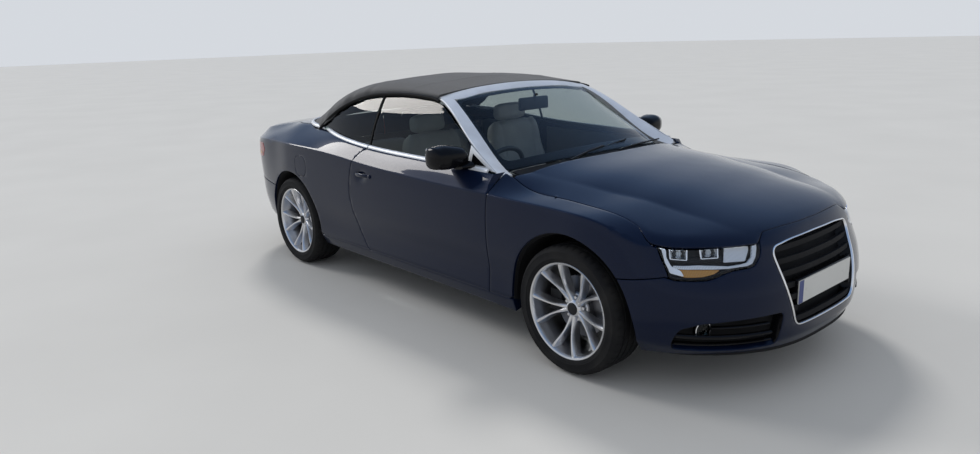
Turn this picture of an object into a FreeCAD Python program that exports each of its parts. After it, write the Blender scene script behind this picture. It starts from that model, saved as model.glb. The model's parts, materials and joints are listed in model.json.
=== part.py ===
import FreeCAD
import Part
import math
import os

V = FreeCAD.Vector

# Frame: +X forward, +Y left, +Z up, in millimetres. The origin is on the ground, under the
# middle of the car's length and width.

# Driving dimensions
length = 4626.0
wheelbase = 2751.0
front_overhang = 866.0
front_track = 1590.0
rear_track = 1577.0
tyre_radius = 326.0
tyre_width = 245.0
tyre_half = tyre_width / 2
tyre_width = 245.0
tyre_half = tyre_width / 2
rim_radius = 230.0
arch_radius = 368.0
kingpin_inset = 50.0
corner_radius = 925.0

skin = 28.0
door_thickness = 90.0
quarter_thickness = 60.0
sill_width = 108.0
glass = 5.0
roof_thickness = 24.0
shut_gap = 5.0
seat_gap = 0.3
run_gap = 0.05

front_axle_x = length / 2 - front_overhang
rear_axle_x = front_axle_x - wheelbase
axle_z = tyre_radius
front_wheel_y = front_track / 2
rear_wheel_y = rear_track / 2
kingpin_y = front_wheel_y - kingpin_inset

# Door hinge: an upright axis just inside the skin
door_hinge_x = 816.0
door_hinge_y = 870.0
door_nose = 70.0
hinge_pin = 8.0

# Hood and boot lid hinges: axes across the car, with a pin at each side edge
hood_hinge = (955.0, 884.0)
hood_pin = 5.0
lid_hinge = (-1660.0, 1010.0)
lid_pin = 5.0
lid_nose = 24.0
lid_nose_gap = 8.0
pin_reach = 18.0
pin_root = 20.0

# Steering wheel, on the right-hand side
wheel_centre = V(405.0, -370.0, 800.0)
wheel_tilt = 25.0
wheel_rim = 183.0


# Plain solids

# Cutters reach this far above the roof and outside the sides
above = 1400.0
outside = 1100.0


def box(x0, x1, y0, y1, z0, z1):
    return Part.makeBox(x1 - x0, y1 - y0, z1 - z0, V(x0, y0, z0))


def cylinder(start, axis, radius, size):
    return Part.makeCylinder(radius, size, V(*start), V(*axis))


def face_of(points):
    return Part.Face(Part.makePolygon([V(*p) for p in points] + [V(*points[0])]))


def prism_side(points, y0, y1):
    """An (x, z) outline run across the car from y0 to y1."""
    return face_of([(x, y0, z) for x, z in points]).extrude(V(0, y1 - y0, 0))


def prism_plan(points, z0, z1):
    """An (x, y) outline run up from z0 to z1."""
    return face_of([(x, y, z0) for x, y in points]).extrude(V(0, 0, z1 - z0))


def prism_front(points, x0, x1):
    """A (y, z) outline run along the car from x0 to x1."""
    return face_of([(x0, y, z) for y, z in points]).extrude(V(x1 - x0, 0, 0))


def bar(points, width, y_mid):
    """A bar of even width across the car, along an (x, z) outline."""
    return prism_side(points, y_mid - width / 2, y_mid + width / 2)


def join(shapes):
    whole = shapes[0].fuse(shapes[1:]) if len(shapes) > 1 else shapes[0]
    return whole.removeSplitter()


def main_solids(shape, least=1.0e6):
    """The shape without the slivers that a cut by the skin leaves outside it."""
    return Part.makeCompound([solid for solid in shape.Solids if solid.Volume > least])


def mirrored(shape):
    return shape.mirror(V(0, 0, 0), V(0, 1, 0))


def both_sides(shape):
    return [shape, mirrored(shape)]


def loft(sections):
    wires = []
    for points in sections:
        corners = [V(*p) for p in points]
        wires.append(Part.makePolygon(corners + [corners[0]]))
    solid = Part.makeLoft(wires, True, True)
    if solid.Volume < 0:
        solid = solid.reversed()
    return solid


def turned(profile, origin, axis):
    """A closed profile, given as points, turned right round an axis."""
    return Part.Face(Part.makePolygon([V(*p) for p in profile] + [V(*profile[0])])).revolve(
        V(*origin), V(*axis), 360)


def spline(places, values):
    """A smooth curve through values at places, with straight ends."""
    n = len(places)
    step = [places[i + 1] - places[i] for i in range(n - 1)]
    low = [0.0] * n
    mid = [1.0] * n
    high = [0.0] * n
    right = [0.0] * n
    for i in range(1, n - 1):
        low[i] = step[i - 1]
        mid[i] = 2 * (step[i - 1] + step[i])
        high[i] = step[i]
        right[i] = 6 * ((values[i + 1] - values[i]) / step[i] - (values[i] - values[i - 1]) / step[i - 1])
    for i in range(1, n):
        m = low[i] / mid[i - 1]
        mid[i] -= m * high[i - 1]
        right[i] -= m * right[i - 1]
    bend = [0.0] * n
    for i in range(n - 2, -1, -1):
        bend[i] = (right[i] - high[i] * bend[i + 1]) / mid[i]

    def value(x):
        i = 0
        while i < n - 2 and x > places[i + 1]:
            i += 1
        t = x - places[i]
        h = step[i]
        slope = (values[i + 1] - values[i]) / h - h * (2 * bend[i] + bend[i + 1]) / 6
        return values[i] + t * slope + t * t * bend[i] / 2 + t ** 3 * (bend[i + 1] - bend[i]) / (6 * h)
    return value


# Body skin. A station is a place round the car seen from above: an arc about the front axle's
# middle, a straight side, and an arc about the rear axle's middle. A row is a line along the body.

quarter_turn = corner_radius * math.pi / 2
rear_start = quarter_turn + wheelbase
station_end = rear_start + quarter_turn


def at_front(degrees):
    return corner_radius * math.radians(degrees)


def at_side(x):
    return quarter_turn + front_axle_x - x


def at_rear(degrees):
    return station_end - corner_radius * math.radians(degrees)


def skin_point(station, out, height):
    """The point a distance out from the arc's centre or the centre plane, at a height."""
    if station < quarter_turn:
        a = station / corner_radius
        return (front_axle_x + out * math.cos(a), out * math.sin(a), height)
    if station < rear_start:
        return (front_axle_x + quarter_turn - station, out, height)
    a = (station - rear_start) / corner_radius
    return (rear_axle_x - out * math.sin(a), out * math.cos(a), height)


# Rows, each (out, height): bottom, flare, low, mid, high, crease, rim
rows_at = [
    (at_front(0), (838, 205), (862, 262), (866, 350), (845, 500), (805, 620), (768, 698), (735, 742)),
    (at_front(25), (870, 205), (905, 262), (915, 360), (895, 500), (855, 610), (826, 690), (790, 742)),
    (at_front(45), (880, 205), (935, 265), (968, 370), (962, 500), (925, 615), (898, 700), (888, 712)),
    (at_front(62), (880, 205), (945, 275), (978, 390), (978, 520), (955, 640), (937, 716), (925, 732)),
    (at_front(76), (880, 215), (925, 290), (948, 400), (948, 560), (938, 710), (925, 798), (812, 817)),
    (at_side(1447), (870, 215), (915, 300), (924, 410), (927, 600), (920, 745), (908, 824), (785, 830)),
    (at_side(1000), (868, 215), (893, 300), (890, 400), (910, 560), (913, 745), (905, 829), (771, 875)),
    (at_side(882), (866, 215), (893, 300), (889, 400), (909, 560), (912, 745), (904, 830), (768, 926)),
    (at_side(840), (865, 215), (893, 300), (889, 400), (909, 560), (912, 745), (904, 830), (833, 926)),
    (at_side(550), (862, 215), (893, 300), (888, 400), (908, 560), (911, 745), (903, 831), (833, 932)),
    (at_side(100), (862, 215), (893, 300), (888, 400), (908, 560), (911, 750), (905, 842), (834, 940)),
    (at_side(-350), (862, 215), (893, 300), (890, 400), (910, 560), (913, 770), (908, 864), (833, 956)),
    (at_side(-800), (862, 215), (898, 300), (900, 400), (916, 560), (918, 790), (915, 897), (806, 999)),
    (at_side(-1304), (870, 225), (915, 310), (925, 420), (927, 600), (924, 800), (918, 913), (690, 1034)),
    (at_rear(76), (890, 235), (925, 310), (932, 430), (934, 600), (931, 800), (925, 912), (705, 1032)),
    (at_rear(62), (930, 245), (968, 320), (985, 430), (992, 600), (998, 795), (995, 905), (728, 1022)),
    (at_rear(45), (985, 255), (1040, 330), (1066, 430), (1078, 600), (1078, 790), (1072, 895), (985, 968)),
    (at_rear(25), (960, 262), (1010, 335), (1040, 430), (1045, 590), (1020, 790), (1035, 935), (1015, 955)),
    (at_rear(0), (945, 265), (990, 335), (1009, 440), (1005, 590), (985, 790), (961, 955), (945, 968)),
]
stations = [row[0] for row in rows_at]
row_curves = []
for row in range(1, 8):
    outs = spline(stations, [entry[row][0] for entry in rows_at])
    heights = spline(stations, [entry[row][1] for entry in rows_at])
    row_curves.append((outs, heights))


def skin_at(station, level):
    """(out, height) on the skin; level counts rows from 0, bottom, to 6, rim."""
    i = min(int(level), 5)
    t = level - i
    station = abs(station)
    a, b = row_curves[i], row_curves[i + 1]
    out = a[0](station) * (1 - t) + b[0](station) * t
    height = a[1](station) * (1 - t) + b[1](station) * t
    return out, height


def panel(start, end, levels, depth, pieces, inward=None):
    """A wall of the skin from start to end, as deep as depth along its own normal."""
    sections = []
    for k in range(pieces + 1):
        station = start + (end - start) * k / pieces
        outer = [skin_at(station, level) for level in levels]
        inner = []
        for i, (out, height) in enumerate(outer):
            if inward:
                inner.append((out - inward[i][0], height - inward[i][1]))
                continue
            before, after = outer[max(i - 1, 0)], outer[min(i + 1, len(outer) - 1)]
            run = (after[0] - before[0], after[1] - before[1])
            size = math.hypot(*run)
            inner.append((out - depth * run[1] / size, height + depth * run[0] / size))
        ring = outer + inner[::-1]
        sections.append([skin_point(station, out, height) for out, height in ring])
    return loft(sections)


def block(start, end, low, high, proud, depth, pieces):
    """A cutter through the skin between two levels, from proud outside it to depth inside."""
    sections = []
    for k in range(pieces + 1):
        station = start + (end - start) * k / pieces
        (low_out, low_z), (high_out, high_z) = skin_at(station, low), skin_at(station, high)
        ring = [(low_out + proud, low_z), (high_out + proud, high_z), (high_out - depth, high_z),
                (low_out - depth, low_z)]
        sections.append([skin_point(station, out, height) for out, height in ring])
    return loft(sections)


all_levels = [0, 1, 2, 3, 4, 5, 6]


def core(start, end, pieces, inner=300.0):
    """The space inside the skin, from an inner wall out to just under the surface."""
    sections = []
    for k in range(pieces + 1):
        station = start + (end - start) * k / pieces
        ring = [skin_at(station, level) for level in all_levels]
        ring = [(inner, ring[0][1])] + [(out - 2, z) for out, z in ring] + [(inner, ring[-1][1])]
        sections.append([skin_point(station, out, height) for out, height in ring])
    return loft(sections)


# Wheel arches and joint lines

def arch_cut(x, radius, y0, y1):
    return cylinder((x, y0, axle_z), (0, 1, 0), radius, y1 - y0)


lamp_rear_low = (1977.0, 594.0)
seam_z = 560.0


def fender_zone(gap):
    """Side view region of the fender, seen against the front bumper."""
    lamp_x, lamp_z = lamp_rear_low
    outline = [(600, -100), (front_axle_x, -100), (front_axle_x + 100, seam_z + gap), (lamp_x - 40, lamp_z + gap),
               (2010 - gap, 640), (2010 - gap, above), (600, above)]
    return prism_side(outline, 500, outside)


def rear_seam_zone(gap):
    """Side view region of the rear bumper, seen against the quarter panel."""
    outline = [(-1500, -100), (-1600, seam_z - gap), (-2100, 600 - gap), (-2500, 600 - gap), (-2500, -100)]
    return prism_side(outline, -outside, outside)


lamp_low = 3.75
lamp_high = 4.92
lamp_start = at_front(32)
lamp_end = at_front(60.5)
grille_outline = [(350, 690), (378, 654), (283, 306), (-283, 306), (-378, 654), (-350, 690)]
vent = (at_front(27), at_front(50), 1.05, 1.85)

front_wall = panel(at_front(0), at_side(front_axle_x - 10), all_levels[:6] + [5.45], skin, 16)
cutter_proud = 60.0
cutter_depth = 150.0
lamp_hole = block(lamp_start - 6, lamp_end + 6, lamp_low - 0.04, lamp_high + 0.04, cutter_proud, cutter_depth, 6)
front_half = front_wall.cut(lamp_hole).cut(fender_zone(0))
front_half = front_half.cut(arch_cut(front_axle_x, arch_radius, 300, outside))
front_half = front_half.cut(block(*vent, cutter_proud, cutter_depth, 5))
front_bumper = join(both_sides(front_half))
grille_reach = (1900.0, 2400.0)
front_bumper = front_bumper.cut(prism_front(grille_outline, *grille_reach))
headlamp = front_wall.common(lamp_hole)

# The grille leans back: a slab with its frame, slats and back sheet
grille_low_x = 2262.0
grille_high_x = 2190.0
grille_depth = 40.0
grille_frame = 14.0


def grille_slab(front, back):
    """The grille's leaning slab between two depths behind its front."""
    return prism_side([(grille_low_x - front, 290), (grille_high_x - front, 710), (grille_high_x - back, 710),
                       (grille_low_x - back, 290)], -400, 400)


def grille_inside(margin):
    """The grille's hole seen from ahead, smaller all round by a margin."""
    outline = [(y - math.copysign(margin, y), z + (margin if z < 400 else -margin)) for y, z in grille_outline]
    return prism_front(outline, *grille_reach)


grille = grille_slab(0, grille_depth).common(grille_inside(0).cut(grille_inside(grille_frame)))
slat_count = 6
slat_low = 352.0
slat_pitch = 54.0
slat_height = 22.0
slat_places = [slat_low + k * slat_pitch for k in range(slat_count)]
slat_stack = [box(2000, 2400, -390, 390, z, z + slat_height) for z in slat_places]
slats = grille_slab(6, grille_depth - 6).common(grille_inside(grille_frame - 1))
slats = slats.common(Part.makeCompound(slat_stack))
back_sheet = grille_slab(grille_depth - 6, grille_depth).common(grille_inside(4))
grille = join([grille, slats, back_sheet])

# Blank number plates: one on the grille, one on the boot lid
plate_half = 260.0
plate_thickness = 5.0
front_plate_z = (403.0, 514.0)
rear_plate_z = (655.0, 766.0)
front_plate_x = 2287.0
rear_plate_x = -2311.0
bracket_y = 150.0
front_plate = box(front_plate_x - plate_thickness, front_plate_x, -plate_half, plate_half, *front_plate_z)
bracket = box(2200, front_plate_x - plate_thickness, bracket_y, bracket_y + 30, 445, 470)
front_plate = join([front_plate] + both_sides(bracket)).cut(grille)
rear_plate = box(rear_plate_x, rear_plate_x + 14, -plate_half, plate_half, *rear_plate_z)

# Fender, quarter, sill
post_x = 893.0


def hinge_cylinder(radius, z0, z1, side=1):
    return cylinder((door_hinge_x, side * door_hinge_y, z0), (0, 0, 1), radius, z1 - z0)


fender_wall = panel(at_front(62), at_side(878), all_levels, skin, 9)
fender = fender_wall.common(fender_zone(0)).cut(arch_cut(front_axle_x, arch_radius, 300, outside))
fender = fender.cut(hinge_cylinder(door_nose + shut_gap, 0, above))

door_shut = [(846, 960), (872, 946), (930, 882), (962, 760), (976, 641), (955, 534), (900, 400), (830, 310),
             (800, 288)]


def shut_turned(gap, z_low, z_high):
    """The door's rear edge as a surface turned about its hinge: radius + 320 by height."""
    base = 320.0
    profile = [(0, z_high), (base + door_shut[0][0] + gap, z_high)]
    profile += [(base + r + gap, z) for r, z in door_shut]
    profile += [(base + door_shut[-1][0] + gap, z_low), (0, z_low)]
    points = [(door_hinge_x - r, door_hinge_y, z) for r, z in profile]
    return turned(points, (door_hinge_x, door_hinge_y, 0), (0, 0, 1))


sill_levels = [0, 0.4, 0.78]
sill_inward = [(sill_width - 6, 0), (sill_width + 8, 0), (sill_width + 20, 0)]
sill = panel(at_side(1080), at_side(-925), sill_levels, sill_width, 8, sill_inward)
sill = sill.cut(arch_cut(front_axle_x, arch_radius + 2, 300, outside))
sill = sill.cut(arch_cut(rear_axle_x, arch_radius + 12, 300, outside))

# Jacking pads under the sills
pad_places = (700.0, -800.0)
pad_y = 812.0
pad_bottom = 205.0
pad_top = 222.0
for x in pad_places:
    sill = sill.fuse(box(x - 35, x + 35, pad_y - 22, pad_y + 22, pad_bottom, pad_top))
sill = sill.removeSplitter()

quarter_levels = [0.8, 1, 2, 3, 4, 5, 6]
quarter_inward = [(45, 0), (50, 0), (60, 0), (60, 0), (60, 0), (60, 4), (34, 34)]
quarter_wall = panel(at_side(-250), at_rear(31), quarter_levels, quarter_thickness, 14, quarter_inward)
lid_side_y = 565.0
quarter = quarter_wall.cut(arch_cut(rear_axle_x, arch_radius, 300, outside))
quarter = quarter.cut(shut_turned(shut_gap, 150, 1200)).cut(rear_seam_zone(0))
quarter = quarter.cut(box(-2400, -2000, 0, lid_side_y, 300, 1100)).cut(sill)
fender = fender.cut(sill)

# Doors
door_wall = panel(at_side(920), at_side(-520), [0.86, 1, 2, 3, 4, 5, 6], door_thickness, 10,
                  inward=[(62, 0), (72, 0), (88, 0), (92, 0), (92, 0), (98, 6), (64, 3)])
ahead = box(door_hinge_x, 1000, 600, 1100, 0, 1200)
door = door_wall.cut(ahead.cut(hinge_cylinder(door_nose, -50, 1300))).common(shut_turned(0, 150, 1200))
hinge_heights = (440.0, 720.0)
arm_thickness = 20.0
arm_width = 16.0
eye_radius = 13.0
arm_room = arm_width / 2 + shut_gap
# Room in the door for the arm as it swings, as offsets from the hinge
arm_slot = [(-arm_room, 8), (-arm_room, -95), (40, -95), (80, -60), (90, -26), (8, 14)]
pins = []
for z in hinge_heights:
    low = z - arm_thickness / 2 - shut_gap
    high = z + arm_thickness / 2 + shut_gap
    slot = prism_plan([(door_hinge_x + x, door_hinge_y + y) for x, y in arm_slot], low, high)
    door = door.cut(slot).cut(hinge_cylinder(eye_radius + shut_gap, low, high))
    pins.append(hinge_cylinder(hinge_pin, low - 1, high + 1))
# Door handle: a strap across a grip, as x and y seen from above
handle_plan = [(-402, 896), (-388, 921), (-320, 926), (-250, 922), (-232, 896)]
handle_z = (778.0, 803.0)
handle = prism_plan(handle_plan, *handle_z)
door = join([door, handle] + pins)

parts = {}


def add(name, shape):
    parts[name] = shape


def add_pair(name, shape):
    parts[name + "_left"] = shape
    parts[name + "_right"] = mirrored(shape)


# Glass at the side, seen as a leaning wall above the belt: (x, then y and z of three rows)
glass_rows = [
    (870, (800, 905), (742, 1095), (640, 1290)),
    (200, (802, 905), (742, 1095), (640, 1290)),
    (-350, (802, 920), (742, 1100), (640, 1290)),
    (-800, (786, 960), (735, 1100), (640, 1290)),
    (-1150, (730, 1000), (700, 1100), (620, 1290)),
]


def side_glass(depth, inset=0.0):
    sections = []
    for x, low, mid, top in glass_rows:
        ring = [(y - inset, z) for y, z in (low, mid, top)] + [(y - inset - depth, z) for y, z in (top, mid, low)]
        sections.append([(x, y, z) for y, z in ring])
    return loft(sections)


window_top = [(209, 1264), (-132, 1280), (-378, 1273)]
door_pane = prism_side([(855, 900), (838, 938)] + window_top + [(-367, 900)], 500, 900)
door_glass = side_glass(glass).common(door_pane).cut(door)
quarter_pane = prism_side([(-381, 946), (-389, 1270), (-543, 1257), (-860, 1156), (-1110, 1008), (-1110, 946)],
                          500, 900)
quarter_glass = side_glass(glass).common(quarter_pane).cut(quarter)

# Windscreen: (base point, top point) from the centre outwards
screen_lines = [
    ((960, 0, 960), (270, 0, 1305)),
    ((952, 200, 957), (268, 190, 1301)),
    ((925, 380, 949), (263, 360, 1291)),
    ((880, 530, 935), (257, 470, 1281)),
    ((815, 661, 916), (252, 555, 1270)),
]


def planar_section(base, top, sink, depth):
    """Section of the screen in the upright plane through its base and top."""
    b, t = V(*base), V(*top)
    run = (t - b).normalize()
    up = V(0, 0, 1)
    normal = up - run * run.dot(up)
    normal.normalize()
    corners = [b - normal * sink, t - normal * sink, t - normal * (sink + depth), b - normal * (sink + depth)]
    return [(c.x, c.y, c.z) for c in corners]


def screen_wall(sink, depth):
    lines = [((b[0], -b[1], b[2]), (t[0], -t[1], t[2])) for b, t in screen_lines[:0:-1]] + screen_lines
    return loft([planar_section(b, t, sink, depth) for b, t in lines])


windscreen = screen_wall(0, glass)

# Windscreen frame: pillars (x, outer edge y and z, glass edge y and z) and header
pillar_rows = [
    (905, (748, 925), (680, 866)),
    (815, (736, 975), (661, 918)),
    (560, (700, 1110), (614, 1077)),
    (252, (644, 1264), (556, 1269)),
    (180, (636, 1283), (545, 1292)),
]
pillar_depth = 45.0
pillar = loft([[(x, outer[0], outer[1]), (x, inner[0], inner[1]), (x, inner[0] + 6, inner[1] - pillar_depth),
                (x, outer[0] - 4, outer[1] - pillar_depth)] for x, outer, inner in pillar_rows])
header_rows = [
    (0, (270, 1305), (187, 1337)),
    (200, (268, 1301), (185, 1332)),
    (400, (262, 1288), (180, 1318)),
    (560, (252, 1269), (176, 1296)),
    (636, (222, 1272), (170, 1282)),
]
header_sections = [[(front[0], y, front[1]), (rear[0], y, rear[1]), (rear[0], y, rear[1] - 38),
                    (front[0] - 14, y, front[1] - 26)] for y, front, rear in header_rows]
header_sections = [[(x, -y, z) for x, y, z in s] for s in header_sections[:0:-1]] + header_sections
frame = join([loft(header_sections)] + both_sides(pillar))
windscreen = windscreen.cut(frame)

# Soft top: sections across the car (x, then y and z of rows from the side's foot to the middle)
roof_rows = [
    (180, (641, 1276), (640, 1284), (600, 1301), (400, 1322), (0, 1339)),
    (-132, (643, 1286), (642, 1300), (598, 1328), (400, 1352), (0, 1371)),
    (-372, (645, 1279), (646, 1296), (600, 1332), (400, 1360), (0, 1380)),
    (-543, (652, 1262), (652, 1284), (602, 1325), (400, 1358), (0, 1378)),
    (-860, (712, 1162), (700, 1200), (630, 1262), (410, 1318), (0, 1344)),
    (-1060, (745, 1045), (722, 1098), (645, 1180), (420, 1255), (0, 1290)),
    (-1200, (722, 1036), (700, 1064), (625, 1120), (410, 1190), (0, 1232)),
    (-1350, (655, 1044), (632, 1056), (560, 1083), (370, 1120), (0, 1160)),
    (-1440, (545, 1049), (520, 1056), (450, 1070), (300, 1090), (0, 1110)),
    (-1505, (330, 1053), (310, 1056), (260, 1060), (160, 1066), (0, 1070)),
]


def roof_loft(inset, rows, drop=0.0):
    sections = []
    for x, *ring in rows:
        half = [(y - inset, z - inset * 0.9) for y, z in ring[1:-1]]
        middle = (0, ring[-1][1] - inset)
        foot = (ring[0][0] - inset, ring[0][1] - drop)
        right = [(-y, z) for y, z in half[::-1]]
        points = [foot] + half + [middle] + right + [(-foot[0], foot[1])]
        sections.append([(x, y, z) for y, z in points])
    return loft(sections)


outer_roof = roof_loft(0, roof_rows)
inner_rows = [(x + (2 if x > 100 else 0) * 5, *ring) for x, *ring in roof_rows[:-1]]
inner_roof = roof_loft(roof_thickness, inner_rows, drop=60)
soft_top = outer_roof.cut(inner_roof)
back_window = prism_plan([(-930, -430), (-930, 430), (-1250, 500), (-1290, 440), (-1290, -440), (-1250, -500)],
                         1000, 1500)
rear_glass = roof_loft(7, inner_rows, drop=60).cut(roof_loft(12, inner_rows, drop=80)).common(back_window)
soft_top = soft_top.cut(back_window).cut(frame)

# Hood: sections across the car (x, then rim, crease and middle as y and z)
hood_rows = [
    (900, (775, 925), (650, 925), (0, 985)),
    (1040, (772, 866), (630, 908), (0, 962)),
    (1310, (788, 841), (600, 884), (0, 937)),
    (1490, (788, 833), (575, 861), (0, 914)),
    (1650, (800, 818), (545, 845), (0, 890)),
    (1810, (830, 778), (525, 815), (0, 860)),
    (1920, (830, 742), (510, 798), (0, 838)),
    (2010, (830, 712), (495, 782), (0, 816)),
    (2100, (640, 712), (470, 755), (0, 787)),
    (2150, (600, 700), (420, 735), (0, 764)),
    (2185, (560, 690), (360, 718), (0, 742)),
]
hood_plan = [(1045, 0), (1035, 200), (1005, 400), (965, 620), (936, 757), (1150, 772), (1359, 776),
             (1580, 778), (1731, 785), (1820, 800), (1893, 813), (1990, 720), (2060, 640), (2120, 500),
             (2150, 380), (2172, 200), (2178, 0)]
hood_depth = 24.0


def mirrored_plan(half):
    return half + [(x, -y) for x, y in half[-2:0:-1]]


def grown_plan(half, gap):
    """A half outline moved outwards by gap, away from its own middle."""
    middle_x = sum(x for x, y in half) / len(half)
    return [(x + math.copysign(gap, x - middle_x), y + (gap if y > 0 else 0)) for x, y in half]


def sheet_loft(rows, depth, extra=0.0):
    """A curved sheet, as deep as depth, from rows of (x, then side to middle as y and z)."""
    sections = []
    for x, *ring in rows:
        upper = [(y, z + extra) for y, z in ring + [(-y, z) for y, z in ring[-2::-1]]]
        lower = [(y, z - depth - 2 * extra) for y, z in upper[::-1]]
        sections.append([(x, y, z) for y, z in upper + lower])
    return loft(sections)


hood = sheet_loft(hood_rows, hood_depth).common(prism_plan(mirrored_plan(hood_plan), 400, above))
hood_pin_y = 757.0
for side in (1, -1):
    y = hood_pin_y - pin_root if side > 0 else -hood_pin_y - pin_reach
    pin = cylinder((hood_hinge[0], y, hood_hinge[1]), (0, 1, 0), hood_pin, pin_root + pin_reach)
    hood = hood.fuse(pin)
hood = hood.removeSplitter()
hood_room = sheet_loft(hood_rows, hood_depth, shut_gap)
hood_room = hood_room.common(prism_plan(mirrored_plan(grown_plan(hood_plan, shut_gap)), 400, above))
# Room for the hood's rear corner, which dips as the hood opens
corner_room = box(post_x, hood_hinge[0] + 20, hood_pin_y - 60, hood_pin_y + shut_gap, hood_hinge[1] - 34, above)
fender = fender.cut(hood_room).cut(corner_room)
fender = fender.cut(cylinder((hood_hinge[0], 700, hood_hinge[1]), (0, 1, 0), hood_pin + run_gap, 100))
front_bumper = front_bumper.cut(hood_room)
headlamp = headlamp.cut(hood_room)

# Boot lid: deck sections (x, then side, shoulder and middle), and the upright rear face
deck_rows = [
    (-1330, (700, 1034), (420, 1046), (0, 1050)),
    (-1500, (700, 1029), (420, 1040), (0, 1044)),
    (-1660, (690, 1020), (420, 1028), (0, 1032)),
    (-1900, (735, 985), (450, 1008), (0, 1017)),
    (-2100, (745, 948), (440, 982), (0, 993)),
    (-2200, (640, 938), (420, 962), (0, 975)),
    (-2262, (420, 948), (300, 955), (0, 966)),
]
deck_depth = 22.0
deck = sheet_loft(deck_rows, deck_depth)
lid_plan = [(-1500, 0), (-1500, 636), (-1640, 640), (-1900, 688), (-2100, 698), (-2190, 640), (-2225, 560),
            (-2350, 560), (-2350, 0)]
lid_zone = prism_plan(mirrored_plan(lid_plan), 500, above)
rear_face_low = 606.0
rear_face = panel(at_rear(40), station_end, [2.9, 4, 5, 5.9], deck_depth, 7)
rear_face = join(both_sides(rear_face)).common(box(-2400, -2000, -560, 560, rear_face_low, 1000))
lid_x, lid_z = lid_hinge
nose_cut = box(lid_x, -1300, -800, 800, 900, 1200).cut(cylinder((lid_x, -800, lid_z), (0, 1, 0), lid_nose, 1600))
lid = join([deck.common(lid_zone).cut(nose_cut), rear_face.common(lid_zone)])
lid_pin_y = 643.0
for side in (1, -1):
    y = lid_pin_y - pin_root if side > 0 else -lid_pin_y - pin_reach
    lid = lid.fuse(cylinder((lid_x, y, lid_z), (0, 1, 0), lid_pin, pin_root + pin_reach))
lid = lid.removeSplitter()
lid_room = [(-1620, 0), (-1620, 640 + shut_gap), (-1640, 640 + shut_gap)]
lid_room += [(x, y + shut_gap) for x, y in lid_plan[3:6]] + [(-2350, lid_side_y), (-2350, 0)]
quarter = quarter.cut(prism_plan(lid_room, rear_face_low - shut_gap, above))
quarter = quarter.cut(cylinder((lid_x, 600, lid_z), (0, 1, 0), lid_pin + run_gap, 65))

# Tail lamps, cut from the quarter and the boot lid
tail_hole = block(at_rear(62), at_rear(20), 3.75, 4.75, 60, 36, 8)
tail_lamp = quarter.common(tail_hole)
quarter = quarter.cut(tail_hole)
tail_holes = Part.makeCompound(both_sides(tail_hole))
lid_lamps = lid.common(tail_holes)
lid = lid.cut(tail_holes)
rear_plate = rear_plate.cut(lid)

# Tonneau panel between the soft top and the boot lid
tonneau = deck.cut(outer_roof).cut(box(-3000, lid_x, -900, 900, 800, 1200))
tonneau = tonneau.cut(cylinder((lid_x, -800, lid_z), (0, 1, 0), lid_nose + lid_nose_gap, 1600))
for shape in both_sides(quarter):
    tonneau = tonneau.cut(shape)

# Rear bumper
rear_wall = panel(at_side(-1450), station_end, [0, 1, 2, 3, 3.3], skin, 14)
rear_half = rear_wall.common(rear_seam_zone(0)).cut(arch_cut(rear_axle_x, arch_radius, 300, outside))
rear_bumper = join(both_sides(rear_half))
clear = 6.0

# Front frame: rails, wheel housings, upper flanges, radiator support and bumper beam
rail = box(930, 2120, 430, 485, 420, 520)
house_outer = 388.0
house_skin = 8.0
house_y = 484.0


def housing(x, radius, y0, y1, z_low, wall_low):
    """Half round wheel housing open to the outside, with an inner wall above wall_low."""
    drum = cylinder((x, y0, axle_z), (0, 1, 0), radius, y1 - y0)
    hollow = cylinder((x, y0, axle_z), (0, 1, 0), radius - house_skin, y1 - y0)
    ring = drum.cut(hollow).common(box(x - 500, x + 500, y0, y1, z_low, 900))
    wall = drum.common(box(x - 500, x + 500, y0, y0 + 6, wall_low, 900))
    return ring.fuse(wall)


flange = box(930, 1700, 740, 900, 745, 765)
tower = cylinder((front_axle_x, 585, 690), (0, 0, 1), 72, 105)
tower_link = box(front_axle_x - 50, front_axle_x + 50, 640, 760, 745, 765)
bumper_arm = box(2100, 2236, 440, 475, 505, 525)
front_house = housing(front_axle_x, house_outer, house_y, 915, 235, 445)
front_house = front_house.common(core(at_front(64), at_side(1030), 8))
rail_tie = box(1395, 1440, 485, 500, 445, 700)
support_x = (2090.0, 2120.0)
support_post = box(*support_x, 430, 485, 225, 670)
frame_half = join([rail, front_house, flange, tower, tower_link, bumper_arm, rail_tie, support_post])
frame_half = main_solids(frame_half.cut(fender).cut(front_bumper).cut(sill))
support_low = box(*support_x, -485, 485, 225, 260)
support_high = box(*support_x, -485, 485, 640, 670)
bumper_beam = box(support_x[1], 2165, -475, 475, 430, 510)
front_frame = join(both_sides(frame_half) + [support_low, support_high, bumper_beam])
radiator = box(2040, support_x[0], -420, 420, 262, 640)

# Firewall with hinge posts and arms, and the cowl over it
firewall_x = 905.0
firewall_depth = 25.0
tunnel_y = 110.0
tunnel_z = 400.0
floor_top = 233.0
firewall_top = 880.0
firewall = box(firewall_x, firewall_x + firewall_depth, -775, 775, floor_top, firewall_top)
tunnel_room = box(800, 1000, -tunnel_y, tunnel_y, 200, tunnel_z)
firewall = firewall.cut(tunnel_room)
post = box(post_x, firewall_x + firewall_depth, 775, 862, floor_top, firewall_top)
post = post.cut(hinge_cylinder(door_nose + shut_gap, 0, above))
arms = []
for z in hinge_heights:
    low = z - arm_thickness / 2
    inner_y = door_hinge_y - door_nose - shut_gap
    high = low + arm_thickness
    arm_x = door_hinge_x - arm_width / 2
    arm = box(arm_x, arm_x + arm_width, inner_y - arm_width, door_hinge_y, low, high)
    arm = arm.fuse(box(arm_x, firewall_x, inner_y - arm_width, inner_y, low, high))
    arm = arm.fuse(hinge_cylinder(eye_radius, low, high))
    arms.append(arm.cut(hinge_cylinder(hinge_pin + run_gap, low - 10, low + arm_thickness + 10)))
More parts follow.
